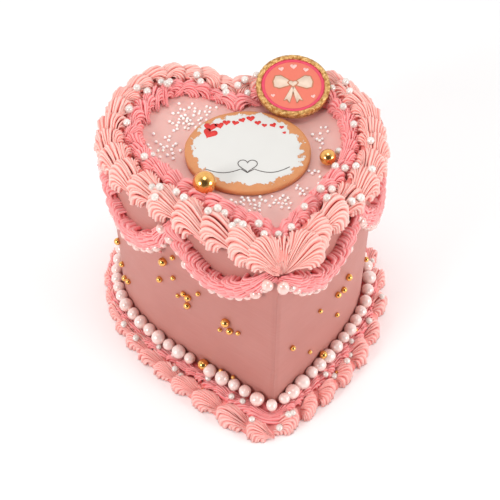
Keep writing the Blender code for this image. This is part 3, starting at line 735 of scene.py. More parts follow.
def sugar_grain():
    """White nonpareils: hard matt sugar, a little speckled."""
    material, tree, shader, _ = clouded_material("white_nonpareil", 900.0, 2.0, "#F6F0EC", "#FFFCFA")
    connect(tree, shader, {"Roughness": 0.4, "IOR": 1.54, "Subsurface Weight": 0.1,
                           "Subsurface Scale": 0.001})
    return material


def flat_sugar(name, code, lighter):
    """Coloured sugar paste rolled thin: even and matt, with faint clouds of 3 mm."""
    material, tree, shader, _ = clouded_material(name, 300.0, 3.0, code, lighter)
    connect(tree, shader, {"Roughness": 0.45, "IOR": 1.5})
    return material


def iced_plaque():
    """A biscuit with white sugar icing torn off towards its edge, over copper coloured lustre.

    crest holds how near to the edge a point is, from 0 in the middle to 1 at the edge, and 1.5 on the side.
    """
    material, tree, shader, place = new_material("plaque_icing")
    reach = add(tree, "Attribute", {}, "Fac", attribute_name="crest")
    # Tears about 5 mm long, with bristle marks of half a millimetre in them
    tears = add(tree, "TexNoise", {"Vector": place, "Scale": 150.0, "Detail": 7.0, "Roughness": 0.68})
    broad = add(tree, "TexNoise", {"Vector": place, "Scale": 45.0, "Detail": 2.0})
    pushed = add(tree, "Math", {0: tears, 1: 0.52, 2: reach}, operation="MULTIPLY_ADD")
    torn = add(tree, "Math", {0: broad, 1: 0.16, 2: pushed}, operation="MULTIPLY_ADD")
    bare = add(tree, "MapRange", {"Value": torn, "From Min": 1.200, "From Max": 1.215})
    copper = add(tree, "Mix", {0: tears, 6: srgb("#CB8049"), 7: srgb("#D89562")}, **COLOURS)
    white = add(tree, "Mix", {0: broad, 6: srgb("#D8D6D2"), 7: srgb("#DEDDD9")}, **COLOURS)
    colour = add(tree, "Mix", {0: bare, 6: white, 7: copper}, **COLOURS)
    # Lustre grit of about half a millimetre, where the icing is gone
    grit = add(tree, "TexNoise", {"Vector": place, "Scale": 1400.0, "Detail": 3.0})
    rough = add(tree, "Math", {0: grit, 1: bare}, operation="MULTIPLY")
    height = add(tree, "Math", {0: rough, 1: -1.0, 2: bare}, operation="MULTIPLY_ADD")
    bump = add(tree, "Bump", {"Strength": 0.6, "Distance": 0.0005, "Height": height}, invert=True)
    connect(tree, shader, {"Base Color": colour, "Roughness": 0.48, "IOR": 1.5, "Normal": bump})
    return material


def gilded_rim():
    """Gold lustre brushed thickly on icing: rough, streaked and only half metal to the eye."""
    material, tree, shader, place = new_material("brushed_gilding")
    # Brush marks about 2 mm apart
    marks = add(tree, "TexNoise", {"Vector": place, "Scale": 480.0, "Detail": 5.0})
    uneven = add(tree, "MapRange", {"Value": marks, "From Min": 0.35, "From Max": 0.65})
    colour = add(tree, "Mix", {0: uneven, 6: srgb("#A86C2C"), 7: srgb("#F0C682")}, **COLOURS)
    bump = add(tree, "Bump", {"Strength": 1.0, "Distance": 0.0012, "Height": marks})
    connect(tree, shader, {"Base Color": colour, "Metallic": 0.7, "Roughness": 0.34, "Normal": bump})
    return material


def table_paper():
    """A pale matt table top."""
    material, tree, shader, _ = clouded_material("pale_table", 4.0, 2.0, "#FCFBFB", "#FDFCFC")
    connect(tree, shader, {"Roughness": 0.8})
    return material


# Each piping: the ridge backs' colour, the painted groove shade, and a second tone mixed in by streaks
LIGHT_PIPING = piped_buttercream("light_piped_buttercream", "#F8D6CC", "#F7847B", "#F8B0A5")
ROSE_PIPING = piped_buttercream("rose_piped_buttercream", "#F8B4B1", "#F67478", "#F89798")
FOOT_PIPING = piped_buttercream("foot_piped_buttercream", "#F8C7BF", "#F78C86", "#F8AEA7")
PINK_PEARL = sugar_pearl("pink_sugar_pearl", "#FFF2ED", "#FBD3CA", 0.20, 0.1)
SWAG_PEARL_SUGAR = sugar_pearl("translucent_sugar_pearl", "#FBD9D0", "#E9B4A9", 0.24, 0.3)
WHITE_PEARL = sugar_pearl("white_sugar_pearl", "#F6F0EA", "#DDD0C8", 0.20, 0.05)
GOLD = gold_lustre()


# The iced heart

SIDE_RINGS = 50
TOP_RINGS = 16
ROUNDING = (22.5, 45.0, 67.5, 90.0)
SCRAPER_WAVE = 0.30


def build_icing():
    """The smooth body, with the slight waves that a scraper leaves."""
    levels = np.linspace(0, CAKE_HEIGHT - EDGE_ROUND, SIDE_RINGS)
    rings = [(heart_outline(WALL), height) for height in levels]
    for angle in np.radians(ROUNDING):
        inset = EDGE_ROUND * (1 - math.cos(angle))
        rings.append((heart_outline(WALL, -inset), CAKE_HEIGHT - EDGE_ROUND * (1 - math.sin(angle))))
    top = heart_outline(WALL, -EDGE_ROUND)
    middle = np.array([2.0, 5.0])
    for share in np.linspace(0.94, 0.06, TOP_RINGS):
        rings.append((middle + (top - middle) * share, CAKE_HEIGHT))
    points = np.array([[(*point, height) for point in outline] for outline, height in rings])
    # The scraper leaves a thin ridge down the tip
    points[:SIDE_RINGS, 0, 1] -= 0.8
    points[:SIDE_RINGS, (1, -1), 1] -= 0.25
    for point in points[:SIDE_RINGS].reshape(-1, 3):
        wave = noise.noise(Vector(point) * 0.035) * SCRAPER_WAVE
        point[:2] *= 1 + wave / 90
    for point in points[-TOP_RINGS:].reshape(-1, 3):
        point[2] += noise.noise(Vector(point) * 0.06) * SCRAPER_WAVE
    heap = Heap()
    heap.put(points, tube_faces(1, len(points), points.shape[1]))
    heap.piece("cake_icing", smoothed_buttercream(), "smooth_icing", "cake")


def build_beads():
    """Gold beads pressed about a fifth of the way into the wall."""
    draw = np.random.default_rng(2)
    heap = Heap()
    for arc, depth, across in GOLD_BEADS:
        put_ball(heap, draw, by_sign(on_wall, arc, across * 0.28, CAKE_HEIGHT - depth), across)
    heap.piece("wall_gold_beads", GOLD, "gold_lustre", "cake")


def covered(spot, margin):
    """Whether a place on the top is under a biscuit, a ball or the border."""
    from_plaque = (spot - PLAQUE_PLACE) / (PLAQUE_SIZE[0] / 2 + margin, PLAQUE_SIZE[1] / 2 + margin)
    if math.hypot(*from_plaque) < 1:
        return True
    if np.linalg.norm(spot - MEDALLION_PLACE) < MEDALLION_ACROSS / 2 - 4:
        return True
    for low, high in (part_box("gold_ball_large"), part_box("gold_ball_small")):
        centre = np.array((low + high) * 500)[:2] - SHIFT[:2]
        if np.linalg.norm(spot - centre) < (high.x - low.x) * 500 + margin:
            return True
    edge = heart_outline(INNER_EDGE, -margin)
    after = np.roll(edge, -1, axis=0)
    spans = (edge[:, 1] > spot[1]) != (after[:, 1] > spot[1])
    slope = (after[:, 0] - edge[:, 0]) / np.where(spans, after[:, 1] - edge[:, 1], 1.0)
    crossing = edge[:, 0] + (spot[1] - edge[:, 1]) * slope
    return int((spans & (spot[0] < crossing)).sum()) % 2 == 0


def build_grains():
    """White grains in loose drifts on the top, no two in each other."""
    draw = np.random.default_rng(5)
    heap = Heap()
    laid = []
    for x, y, spread, count in GRAIN_DRIFTS:
        wanted = len(laid) + count
        while len(laid) < wanted:
            spot = np.array([x, y]) + draw.normal(0, spread, 2)
            clear = all(np.linalg.norm(spot - other) > GRAIN * 1.05 for other in laid)
            if clear and not covered(spot, GRAIN / 2 + 0.5):
                laid.append(spot)
    for spot in laid:
        size = GRAIN * draw.uniform(0.88, 1.12)
        put_ball(heap, draw, (*spot, CAKE_HEIGHT + size * 0.36), size, detail=2, uneven=0.03)
    heap.piece("top_sugar_grains", sugar_grain(), "white_pearl", "cake")


# Border round the top

def outer_core(band):
    room = DIVIDER_SHARE * band
    return [(room - 1.5, 0.1), (room - 2.5, 5.0), (room * 0.5, 5.6), (6.0, 3.4), (4.5, 0.1)]


def inner_core(band):
    low = DIVIDER_SHARE * band + 0.5
    return [(low, 0.1), (low + 0.6, 5.0), ((low + band) / 2, 5.0), (band - 3.0, 3.0), (band - 2.4, 0.1)]


def build_outer_fans():
    """Large pale fans along the edge: each head lies on the tail before it and spills over the side."""
    heap = Heap()
    lay_core(heap, border_lanes, outer_core, CAKE_HEIGHT)
    for side, lanes, draw in each_side(border_lanes, 21):
        place = on_top(side)
        heading, length, head, wide, stop = TIP_FANS[side]
        for head_at, tail_at in shell_heads(lanes, OUTER_STEP, stop):
            room = float(lanes.band(head_at * 0.8 + tail_at * 0.2)) * DIVIDER_SHARE
            reach = (room + OVERHANG) / 2
            nose = min(reach * 0.9, (head_at - tail_at) * 0.6)
            middle = head_at + 2.0 - nose
            lay_fan(heap, draw, place, middle, (room - OVERHANG) / 2 + draw.normal(0, 0.6), out=-1.0,
                    yaw=draw.normal(0, 0.12), length=middle - tail_at + 14.0, head=nose, inner=reach * 1.06,
                    outer=reach * 1.04, step=2.4, top=10.6 + draw.normal(0, 0.8), ends=(-1.6, 4.5, 1.4),
                    plump=1.1, tallest=1.0, tail=(0.0, 1.6), spike=1.3, spread=(100.0, 106.0),
                    lean=(0.3, 1.7), hook=(0.42, 0.34), crest_at=0.66, gather=0.42, dome=(0.3, 0.55),
                    swirl=draw.uniform(0.0, 0.6))
        level = on_level(TIP_TAIL, heading, CAKE_HEIGHT)
        lay_fan(heap, draw, level, length, 0.0, out=1.0 if side == "left" else -1.0, length=length,
                head=head, inner=wide, outer=wide, step=2.4, top=10.5, ends=(-0.6, 3.0, 3.0), plump=1.2,
                tallest=1.15, tail=(0.0, 0.0), spike=1.6, spread=(112.0, 112.0), lean=(0.3, 1.0), swirl=0.2,
                crest_at=0.64, dome=(0.4, 0.6))
    between = on_level(TIP_TAIL, TIP_FILLER, CAKE_HEIGHT)
    lay_fan(heap, draw, between, 16.0, 0.0, length=16.0, head=7.0, inner=9.0, outer=9.0, step=2.4, top=7.5,
            ends=(2.0, 2.0, 2.0), tail=(0.0, -0.5), plump=1.2, spike=1.2, crest_at=0.6)
    return heap


def build_inner_shells():
    """Rose shells inside the fans."""
    heap = Heap()
    lay_core(heap, border_lanes, inner_core, CAKE_HEIGHT)
    for side, lanes, draw in each_side(border_lanes, 31):
        place = on_top(side)
        for head, tail in shell_heads(lanes, INNER_STEP):
            band = float(lanes.band(head * 0.8 + tail * 0.2))
            reach = band * (1 - DIVIDER_SHARE) / 2 + 0.4
            nose = min(reach, (head - tail) * 0.6)
            middle = head + 1.5 - nose
            lay_fan(heap, draw, place, middle, band * DIVIDER_SHARE + reach - 0.8 + draw.normal(0, 0.4),
                    yaw=draw.normal(0.1, 0.22), out=-1.0, length=middle - tail + (0.0 if tail < 1 else 12.0),
                    head=nose, inner=reach, outer=reach * 1.1, step=2.3, top=8.2 + draw.normal(0, 0.8),
                    ends=(3.0, 3.5, 0.6), tail=(0.0, 2.0), spread=(104.0, 104.0), samples=12, spike=1.4,
                    swirl=draw.uniform(-0.8, 0.8), plump=1.1, tallest=0.9, gather=0.45, crest_at=0.6,
                    lean=(1.0, 0.6), dome=(0.6, 0.3))
    return heap


def build_top_border():
    """Both rows, the white pearls that lie mostly in the valley between them, and a few gold beads."""
    fans = build_outer_fans()
    shells = build_inner_shells()
    surface = surface_of(fans, shells)
    fans.piece("top_pale_fans", LIGHT_PIPING, "light_piping", "top_border_outer")
    shells.piece("top_rose_shells", ROSE_PIPING, "rose_piping", "top_border_inner")
    draw = np.random.default_rng(11)
    pearls = Heap()
    for distance, inward in TOP_PEARLS:
        spot = by_sign(on_top, distance, inward, FALL_HEIGHT)
        put_on(surface, pearls, draw, spot, TOP_PEARL * draw.uniform(0.94, 1.06), sunk=0.22)
    pearls.piece("top_white_pearls", WHITE_PEARL, "white_pearl", "top_border_inner")
    gold = Heap()
    for x, y, across in TOP_GOLD_BEADS:
        put_ball(gold, draw, (x, y, CAKE_HEIGHT + 1.0 + across * 0.5), across)
    gold.piece("top_gold_beads", GOLD, "gold_lustre", "top_border_inner")


# Swags

def swag_curve(start, end, drop):
    """Arc, height and slope of a swag's rope, by share of its length. Its ends go up under the fans."""
    hang = drop + SWAG_END_DEPTH - SWAG_TUCK - 1.5

    def at(share):
        arc = start + (end - start) * share
        height = CAKE_HEIGHT - SWAG_TUCK - hang * (1 - (2 * share - 1) ** 2)
        slope = hang * 4 * (2 * share - 1) / (end - start)
        return arc, height, math.atan(slope)
    return at


def build_swag(number, side, start, end, drop):
    """A rope of short overlapping strokes, and the pearls that hang under it."""
    draw = np.random.default_rng(40 + number)
    wall = on_wall(side)
    curve = swag_curve(start, end, drop)
    rope = Heap()
    strokes = round((end - start) * ROPE_STRETCH / SWAG_STROKE)
    for stroke in range(strokes - 1, -1, -1):
        share = (stroke + 0.7) / strokes
        arc, height, slope = curve(share)
        swell = 0.68 + 0.32 * math.sin(math.pi * share) ** 0.6
        up_or_down = 1 if stroke % 2 else -1

        def place(along, up, out):
            return wall(arc + along, out, height + up)
        lay_fan(rope, draw, place, 0.0, 0.8 * up_or_down, yaw=slope + 0.12 + 0.2 * draw.normal(),
                length=14.0, head=5.8 * swell, inner=7.0 * swell, outer=7.0 * swell, top=7.6 * swell,
                ends=(-2.0, 1.8, -2.0), tail=(0.0, 2.4), step=1.9, spread=(88.0, 88.0), samples=12,
                spike=0.6, swirl=draw.uniform(-0.4, 0.8), hook=(0.15, 0.12), lean=(1.4, 2.2),
                crest_at=0.6, plump=1.0, tallest=0.85, gather=0.5, dome=(0.6, 0.6))
    cord = []
    angles = np.linspace(0, 2 * math.pi, CORD_SIDES, endpoint=False)
    for share in np.linspace(0.0, 1.0, CORD_RINGS):
        arc, height, slope = curve(share)
        swell = 0.66 + 0.34 * math.sin(math.pi * share) ** 0.6
        cord.append(wall(arc, 2.2 + 2.8 * swell * np.cos(angles), height + 6.6 * swell * np.sin(angles)))
    # The cord takes the groove colour all over (crest 0): painted shade where it shows between the strokes
    rope.put(cord, tube_faces(1, CORD_RINGS, CORD_SIDES), 0.0)
    rope.piece(f"swag_{number}_ruffle", ROSE_PIPING, "rose_piping", f"swag_{number}")
    pearls = Heap()
    count = round((end - start) * PEARL_STRETCH / SWAG_PEARL)
    for index in range(count):
        share = (index + 0.5) / count
        arc, height, slope = curve(share)
        swell = 0.62 + 0.38 * math.sin(math.pi * share) ** 0.5
        size = SWAG_PEARL * draw.uniform(0.86, 1.08)
        low = height - 5.0 * swell * math.cos(slope) - size * 0.34
        put_ball(pearls, draw, wall(arc + 3.0 * math.sin(slope), size * 0.5 + 0.3, low), size, uneven=0.03)
    for arc, depth, across, squash in SWAG_JOINT_PEARLS:
        if (arc > 0) == (side == "right") and start - 6 < abs(arc) < end - 6:
            centre = wall(abs(arc), across * 0.5 + 0.6, CAKE_HEIGHT - depth)
            put_ball(pearls, draw, centre, across, uneven=0.02, stretch=(1, 1, squash))
    pearls.piece(f"swag_{number}_pearls", SWAG_PEARL_SUGAR, "sugar_pearl", f"swag_{number}")


def build_swags():
    number = 0
    for side in SIDES:
        for start, end, drop in zip(SWAG_ENDS, SWAG_ENDS[1:], SWAG_DROPS):
            number += 1
            build_swag(number, side, start, end, drop)


# Foot

def foot_core(band):
    return [(0.2, 0.0), (0.2, 6.0), (5.7, 6.8), (band - 7.0, 5.2), (band - 4.6, 3.0), (band - 3.6, 0.0)]


def rose_core(band):
    return [(0.2, 5.0), (0.2, 8.6), (3.8, 9.2), (7.6, 8.0), (8.8, 5.0)]


def lay_foot_shell(heap, draw, place, distance, away, yaw, out, half, length, size):
    lay_fan(heap, draw, place, distance, away, yaw=yaw, out=out, step=2.1, length=length, head=7.8 * size,
            inner=half, outer=half, top=11.2 * size, ends=(0.2, 0.4, 2.0), spread=(112.0, 116.0),
            tail=(0.0, 2.6), spike=0.5, swirl=draw.uniform(-0.2, 0.5), lean=(0.6, 0.8), crest_at=0.6,
            plump=1.1, tallest=0.9, gather=0.12, dome=(0.4, 0.6))


def build_foot_shells():
    """Plump shells at the very foot: ridges run along from a tail on the tip's side to a blunt head."""
    heap = Heap()
    lay_core(heap, foot_lanes, foot_core)
    for side, lanes, draw in each_side(foot_lanes, 51):
        place = at_foot(side)
        for head, tail in shell_heads(lanes, FOOT_STEP, FOOT_STOP[side]):
            band = float(lanes.band(head * 0.7 + tail * 0.3))
            size = draw.uniform(0.94, 1.06)
            half = min(max(band * 0.31, 5.6), 7.8) * size
            yaw = FOOT_TURN[side] + draw.normal(0, 0.1)
            lay_foot_shell(heap, draw, place, head - 7.5, band - half, yaw, 1.0, half, head - 3.5 - tail,
                           size)
        spot, heading = FOOT_TIP_SHELLS[side]
        out = 1.0 if side == "left" else -1.0
        lay_foot_shell(heap, draw, on_level(spot, heading, 0.0), 0.0, 0.0, 0.0, out, 6.8, 11.0, 1.0)
    return heap


def build_foot_rope():
    """A rose rope of long strokes between the foot shells and the pearls."""
    heap = Heap()
    lay_core(heap, foot_lanes, rose_core)
    for side, lanes, draw in each_side(foot_lanes, 61):
        place = at_foot(side)
        for distance in np.arange(lanes.length - 3.0, 2.0, -8.0):
            broad = min(max(float(lanes.band(distance)) * 0.19, 3.4), 5.0)
            away = 5.0 + broad + draw.normal(0, 0.4)
            lay_fan(heap, draw, place, distance, away, yaw=0.2 + draw.normal(0, 0.2), length=13.0,
                    head=5.0, inner=broad, outer=broad, top=10.6 + draw.normal(0, 0.5), step=2.0,
                    ends=(4.4, 6.4, 7.5), tail=(0.0, 6.4), spread=(88.0, 88.0), samples=12,
                    spike=0.8, swirl=draw.uniform(-0.4, 0.8), hook=(0.2, 0.2), lean=(1.0, 2.0),
                    crest_at=0.6, plump=1.1, tallest=0.9, gather=0.5, dome=(0.3, 0.3))
    return heap


def build_foot_pearls():
    """Large pearly balls of uneven size, touching, all round the foot, the first one at the tip."""
    draw = np.random.default_rng(3)
    heap = Heap()
    for side in SIDES:
        lanes = foot_lanes(side)
        sign = -1 if side == "left" else 1
        distance = 0.0 if side == "left" else FOOT_PEARL * 0.95
        while distance < lanes.length:
            if abs(sign * distance - FOOT_GOLD_BALL[0]) < FOOT_PEARL * 0.48:
                distance += FOOT_PEARL * 0.9
                continue
            size = FOOT_PEARL * draw.uniform(0.88, 1.16)
            centre = beside(lanes)(distance, size * 0.56, ROSE_TOP + size / 2)
            put_ball(heap, draw, centre, size, uneven=0.035)
            distance += size * 0.98
    heap.piece("foot_pearl_ring", PINK_PEARL, "sugar_pearl", "foot_pearls")


def build_foot_border():
    """The foot's piping, its pearls, and the small pearls and gold beads that fell on it."""
    shells = build_foot_shells()
    rope = build_foot_rope()
    surface = surface_of(shells, rope)
    shells.piece("foot_pale_shells", FOOT_PIPING, "light_piping", "foot_border_outer")
    rope.piece("foot_rose_rope", ROSE_PIPING, "rose_piping", "foot_border_rose")
    build_foot_pearls()
    draw = np.random.default_rng(13)
    small = Heap()
    for distance, outward in FOOT_SMALL_PEARLS:
        spot = by_sign(at_foot, distance, outward, FALL_HEIGHT)
        put_on(surface, small, draw, spot, FOOT_SMALL_PEARL * draw.uniform(0.9, 1.1), sunk=0.25)
    small.piece("foot_small_pearls", WHITE_PEARL, "white_pearl", "foot_border_outer")
    gold = Heap()
    for distance, outward, height, across in (FOOT_GOLD_BALL, *FOOT_GOLD_BEADS):
        put_ball(gold, draw, by_sign(at_foot, distance, outward, height), across)
    gold.piece("foot_gold_beads", GOLD, "gold_lustre", "foot_pearls")


# Biscuits and balls

# Where the plaque's upper face is, and how deep a thin cutout sits in the face under it
PLAQUE_TOP = CAKE_HEIGHT + GAP + PLAQUE_SIZE[2]
CUTOUT_SUNK = 0.05
PLAQUE_HEARTS = 12
# Points round the medallion and round its gilded rim, and how uneven that rim is
DISC_SIDES = 96
GILT_SIDES = 160
GILT_ROUGH = 0.38


def build_plaque():
    """The oval biscuit: a soft edge, and icing that thins out unevenly towards it."""
    length, width, thick = PLAQUE_SIZE
    sides = 120
    angles = np.linspace(0, 2 * math.pi, sides, endpoint=False)
    ragged = np.array([noise.noise(Vector((math.cos(a), math.sin(a), 0.3)) * 3.0) for a in angles]) * 0.008
    profile = [(0.975, 0.0), (1.0, 0.7), (1.0, thick - 0.9), (0.985, thick - 0.2)]
    profile += [(reach, thick) for reach in np.linspace(0.96, 0.02, 26)]
    rings = []
    crest = []
    for reach, height in profile:
        along = reach + ragged * reach
        rings.append(np.stack([PLAQUE_PLACE[0] + length / 2 * along * np.cos(angles),
                               PLAQUE_PLACE[1] + width / 2 * along * np.sin(angles),
                               np.full(sides, CAKE_HEIGHT + GAP + height)], -1))
        crest.append(reach * (1 - 0.05 * np.sin(angles)) if height >= thick - 0.2 else np.full(sides, 1.5))
    heap = Heap()
    heap.put(rings, tube_faces(1, len(profile), sides), np.concatenate(crest))
    heap.piece("plaque_biscuit", iced_plaque(), "plaque_biscuit", "plaque")


def heart_shape(size, steps=24):
    """A small heart's outline, about its middle."""
    t = np.linspace(0, 2 * math.pi, steps, endpoint=False)
    x = 16 * np.sin(t) ** 3
    y = 13 * np.cos(t) - 5 * np.cos(2 * t) - 2 * np.cos(3 * t) - np.cos(4 * t)
    return np.stack([x, y + 2.5], -1) / 32 * size


def put_cutout(heap, outline, thick, carry):
    """Adds a thin flat cutout. carry(points) takes flat points with a height to where they lie."""
    flat = [np.concatenate([outline, np.full((len(outline), 1), height)], -1) for height in (0.0, thick)]
    heap.put(carry(np.concatenate(flat)), tube_faces(1, 2, len(outline)))


def laid(carry, x, y, height, turn, size=1.0):
    """A carry for what is first turned about its middle and moved to a place on the face."""
    def to_face(points):
        c, s = math.cos(turn), math.sin(turn)
        flat = points[:, :2] * size @ np.array([[c, s], [-s, c]])
        return carry(np.stack([flat[:, 0] + x, flat[:, 1] + y, points[:, 2] + height], -1))
    return to_face


def on_plaque(x, y, turn=0.0):
    """A carry onto the plaque's face."""
    return laid(np.asarray, PLAQUE_PLACE[0] + x, PLAQUE_PLACE[1] + y, PLAQUE_TOP - CUTOUT_SUNK, turn)


def build_plaque_hearts():
    """Small red hearts strewn along the far side of the plaque, largest on the left."""
    draw = np.random.default_rng(8)
    heap = Heap()
    for share in np.arange(PLAQUE_HEARTS) / (PLAQUE_HEARTS - 1):
        angle = math.radians(148 - 112 * share)
        reach = draw.uniform(0.66, 0.86)
        x = PLAQUE_SIZE[0] / 2 * reach * math.cos(angle)
        y = PLAQUE_SIZE[1] / 2 * reach * math.sin(angle)
        size = (8.6 - 4.6 * share) * draw.uniform(0.55, 1.1)
        put_cutout(heap, heart_shape(size), 0.25, on_plaque(x, y, draw.normal(0, 0.3)))
    red = flat_sugar("red_sugar_print", "#DB2A25", "#E63A33")
    heap.piece("plaque_red_hearts", red, "plaque_biscuit", "plaque")


def build_flourish():
    """A plain drawn line with a heart in it, under the middle of the plaque."""
    t = np.linspace(0, 1, 26)
    left = np.stack([-26 + 22 * t, -17.0 - 3.2 * np.sin(math.pi * t) + 0.2 * t], -1)
    right = np.stack([4 + 22 * t, -16.8 - 3.2 * np.sin(math.pi * t) + 2.2 * t * t], -1)
    middle = np.roll(heart_shape(12.0, 40), -20, axis=0) + (0, -14.5)
    line = np.concatenate([left, middle, right])
    # Half the line's width to either side of it
    beside_line = unit(np.gradient(line, axis=0))[:, ::-1] * (1, -1) * 0.24
    rings = np.stack([line + beside_line * sign for sign in (-1, 1, 1, -1)], 1)
    heights = np.broadcast_to(np.array([0.0, 0.0, 0.2, 0.2]), rings.shape[:2])
    points = np.concatenate([rings, heights[..., None]], -1).reshape(-1, 3)
    heap = Heap()
    heap.put(on_plaque(0.0, 0.0)(points), tube_faces(1, len(line), 4))
    grey = flat_sugar("grey_drawn_line", "#4A4442", "#5A5350")
    heap.piece("plaque_flourish", grey, "plaque_biscuit", "plaque")


def on_medallion():
    """Carries points about the medallion's middle plane to where it leans."""
    tilt = math.radians(MEDALLION_TILT)
    rise = MEDALLION_ACROSS / 2 * math.sin(tilt) + MEDALLION_THICK / 2 * math.cos(tilt)
    turn = np.array(Matrix.Rotation(tilt, 3, "X"))
    middle = np.array([*MEDALLION_PLACE, PLAQUE_TOP + GAP + rise])

    def carry(points):
        return middle + points @ turn.T
    return carry


def turned_disc(heap, profile, sides, carry):
    """A turned body: profile is radius and height, from the underside round the rim to the upper face."""
    angles = np.linspace(0, 2 * math.pi, sides, endpoint=False)
    rings = [np.stack([radius * np.cos(angles), radius * np.sin(angles), np.full(sides, height)], -1)
             for radius, height in profile]
    heap.put(carry(np.concatenate(rings)), tube_faces(1, len(profile), sides))


def put_loop(heap, loop, sides, carry, rough):
    """A closed ring turned from a closed outline of radius and height. rough is its unevenness."""
    points = []
    for angle in np.linspace(0, 2 * math.pi, sides, endpoint=False):
        for radius, height in loop:
            wobble = noise.noise(Vector((math.cos(angle) * 14, math.sin(angle) * 14, radius + height)))
            reach = min(radius + rough * wobble, MEDALLION_ACROSS / 2)
            points.append((reach * math.cos(angle), reach * math.sin(angle), height + rough * 0.5 * wobble))
    heap.put(carry(np.array(points)), loop_faces(sides, len(loop)))


def grown(outline, margin):
    """An outline moved away from its middle by a margin."""
    return outline + unit(outline - outline.mean(0)) * margin


BOW_LOOP = np.array([(0, 0), (3, 2.2), (6.4, 4.2), (9.0, 3.6), (9.8, 0.4), (9.0, -2.6), (6.4, -3.2),
                     (3, -1.6)])
BOW_TAIL = np.array([(0, 0), (1.6, -3.4), (4.6, -9.4), (3.0, -8.8), (1.8, -10.8), (0.4, -5.4),
                     (-0.6, -1.0)])
BOW_SIZE = 1.3
# Hearts beside the bow: place, size and turn
PALE_HEARTS = (
    (-7.5, 12.5, 3.6, 0.2), (0.5, 14.5, 4.4, 0.0), (8.5, 12.0, 3.6, -0.2), (-13.0, -8.5, 2.8, 0.1),
    (13.0, -9.0, 3.0, 0.3),
)


def build_medallion():
    """The round biscuit: coral face, crimson ring and rough gilded rim, and a cream bow with pale hearts."""
    carry = on_medallion()
    radius = MEDALLION_ACROSS / 2
    rim, rise = MEDALLION_RIM
    half = MEDALLION_THICK / 2
    inner = radius - rim
    face = half - CUTOUT_SUNK
    body, ring, gilt, outline, bow, hearts = (Heap() for _ in range(6))
    turned_disc(body, [(0.5, -half), (radius - 0.6, -half), (radius - 0.3, 0), (radius - 1.0, half - 0.1),
                       (inner - 1.2, half), (0.5, half)], DISC_SIDES, carry)
    put_loop(ring, [(inner + 0.2, half - 0.4), (inner + 0.2, half + 0.18), (inner - 2.2, half + 0.18),
                    (inner - 2.2, half - 0.4)], DISC_SIDES, carry, 0.0)
    put_loop(gilt, [(radius, -half + 0.2), (radius, half + rise * 0.5), (radius - 0.7, half + rise),
                    (inner + 0.9, half + rise), (inner - 0.1, half + rise * 0.4), (inner + 0.2, half - 0.6),
                    (radius - 0.8, -half)], GILT_SIDES, carry, GILT_ROUGH)
    for heap, grow, thick in ((outline, 0.7, 0.15), (bow, 0.0, 0.32)):
        for sign in (1, -1):
            for shape, y, turn in ((BOW_LOOP, 1.0, 0.1 * sign), (BOW_TAIL, 0.4, 0.0)):
                put_cutout(heap, grown(shape, grow) * (sign, 1), thick,
                           laid(carry, 0.0, y, face, turn, BOW_SIZE))
        put_cutout(heap, grown(heart_shape(4.4) * (1, 0.8), grow), thick + 0.2,
                   laid(carry, 0.0, 0.8, face, 0.0, BOW_SIZE))
    for x, y, size, turn in PALE_HEARTS:
        put_cutout(hearts, heart_shape(size), 0.25, laid(carry, x, y, face, turn))
    for heap, name, material in (
        (body, "coral_face", flat_sugar("coral_sugar_print", "#E26E58", "#E77863")),
        (ring, "crimson_ring", flat_sugar("crimson_sugar_print", "#E03A5A", "#EA4B68")),
        (gilt, "gilded_rim", gilded_rim()),
        (outline, "bow_outline", flat_sugar("tan_sugar_print", "#C07A58", "#D08C68")),
        (bow, "cream_bow", flat_sugar("cream_sugar_print", "#EBCDB6", "#F3DCC8")),
        (hearts, "pale_hearts", flat_sugar("pale_sugar_print", "#FFC4BA", "#FFD0C8")),
    ):
        heap.piece("medallion_" + name, material, "medallion_biscuit", "medallion")


def build_gold_balls():
    """The two gold balls on the top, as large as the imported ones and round."""
    points, faces = BALLS[4]
    for node in ("gold_ball_large", "gold_ball_small"):
        low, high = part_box(node)
        heap = Heap()
        heap.put(np.array((low + high) * 500) - SHIFT + points * (high.z - low.z) * 1000, faces)
        heap.piece(node + "_round", GOLD, "gold_lustre", node)


# Studio

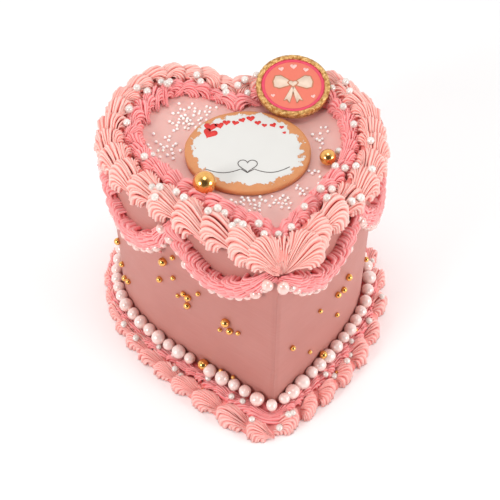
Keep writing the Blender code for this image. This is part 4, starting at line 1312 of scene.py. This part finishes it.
def build_camera():
    camera = bpy.data.objects.new("camera", bpy.data.cameras.new("camera"))
    bpy.context.scene.collection.objects.link(camera)
    camera.data.sensor_width = SENSOR
    camera.data.lens = LENS
    camera.data.clip_start = 0.01
    down = Matrix.Rotation(math.radians(90 - CAMERA_DOWN), 4, "X")
    roll = Matrix.Rotation(math.radians(CAMERA_ROLL), 4, "Z")
    camera.matrix_world = Matrix.Translation(to_frame(CAMERA_PLACE)) @ (down @ roll)
    bpy.context.scene.camera = camera


def build_light(name, place, size, power, colour):
    """A round soft light that is aimed at the cake."""
    light = bpy.data.objects.new(name, bpy.data.lights.new(name, "AREA"))
    bpy.context.scene.collection.objects.link(light)
    light.data.shape = "DISK"
    light.data.size = size
    light.data.energy = power
    light.data.color = colour
    light.location = place
    light.rotation_euler = (Vector(LIGHT_AIM) - Vector(place)).to_track_quat("-Z", "Y").to_euler()


def build_studio():
    """A pale table, a bright room that is darker in front, and three soft lights."""
    bpy.ops.mesh.primitive_plane_add(size=6.0, location=(0, 0, -0.0002))
    table = bpy.context.active_object
    table.name = "pale_table"
    table.data.materials.append(table_paper())
    table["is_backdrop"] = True
    world = bpy.data.worlds.new("studio")
    bpy.context.scene.world = world
    world.use_nodes = True
    tree = world.node_tree
    place = add(tree, "TexCoord", {}, "Generated")
    # The room is darkest in front of the cake and above it, on the camera's side
    toward = add(tree, "VectorMath", {0: place, 1: (0.0, -0.75, 0.66)}, "Value", operation="DOT_PRODUCT")
    bright = add(tree, "MapRange", {"Value": toward, "From Min": 0.35, "From Max": 0.92, "To Min": 1.0,
                                    "To Max": 0.10})
    connect(tree, tree.nodes["Background"], {"Color": bright, "Strength": 1.05})
    build_light("softbox_above", (0.0, -0.1, 1.45), 0.6, 4.5, (1.0, 1.0, 1.0))
    build_light("softbox_left", (-0.95, -0.84, 0.72), 0.5, 8.5, (1.0, 0.99, 0.98))
    build_light("softbox_right", (1.15, -0.55, 0.52), 0.5, 7.0, (1.0, 0.99, 0.98))
    view = bpy.context.scene.view_settings
    view.view_transform = "Standard"
    view.look = "None"


build_icing()
build_beads()
build_grains()
build_top_border()
build_swags()
build_foot_border()
build_plaque()
build_plaque_hearts()
build_flourish()
build_medallion()
build_gold_balls()
build_camera()
build_studio()

corners = {"cad": cad_bounds, "visual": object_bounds()}
{name: [list(corner) for corner in pair] for name, pair in corners.items()}
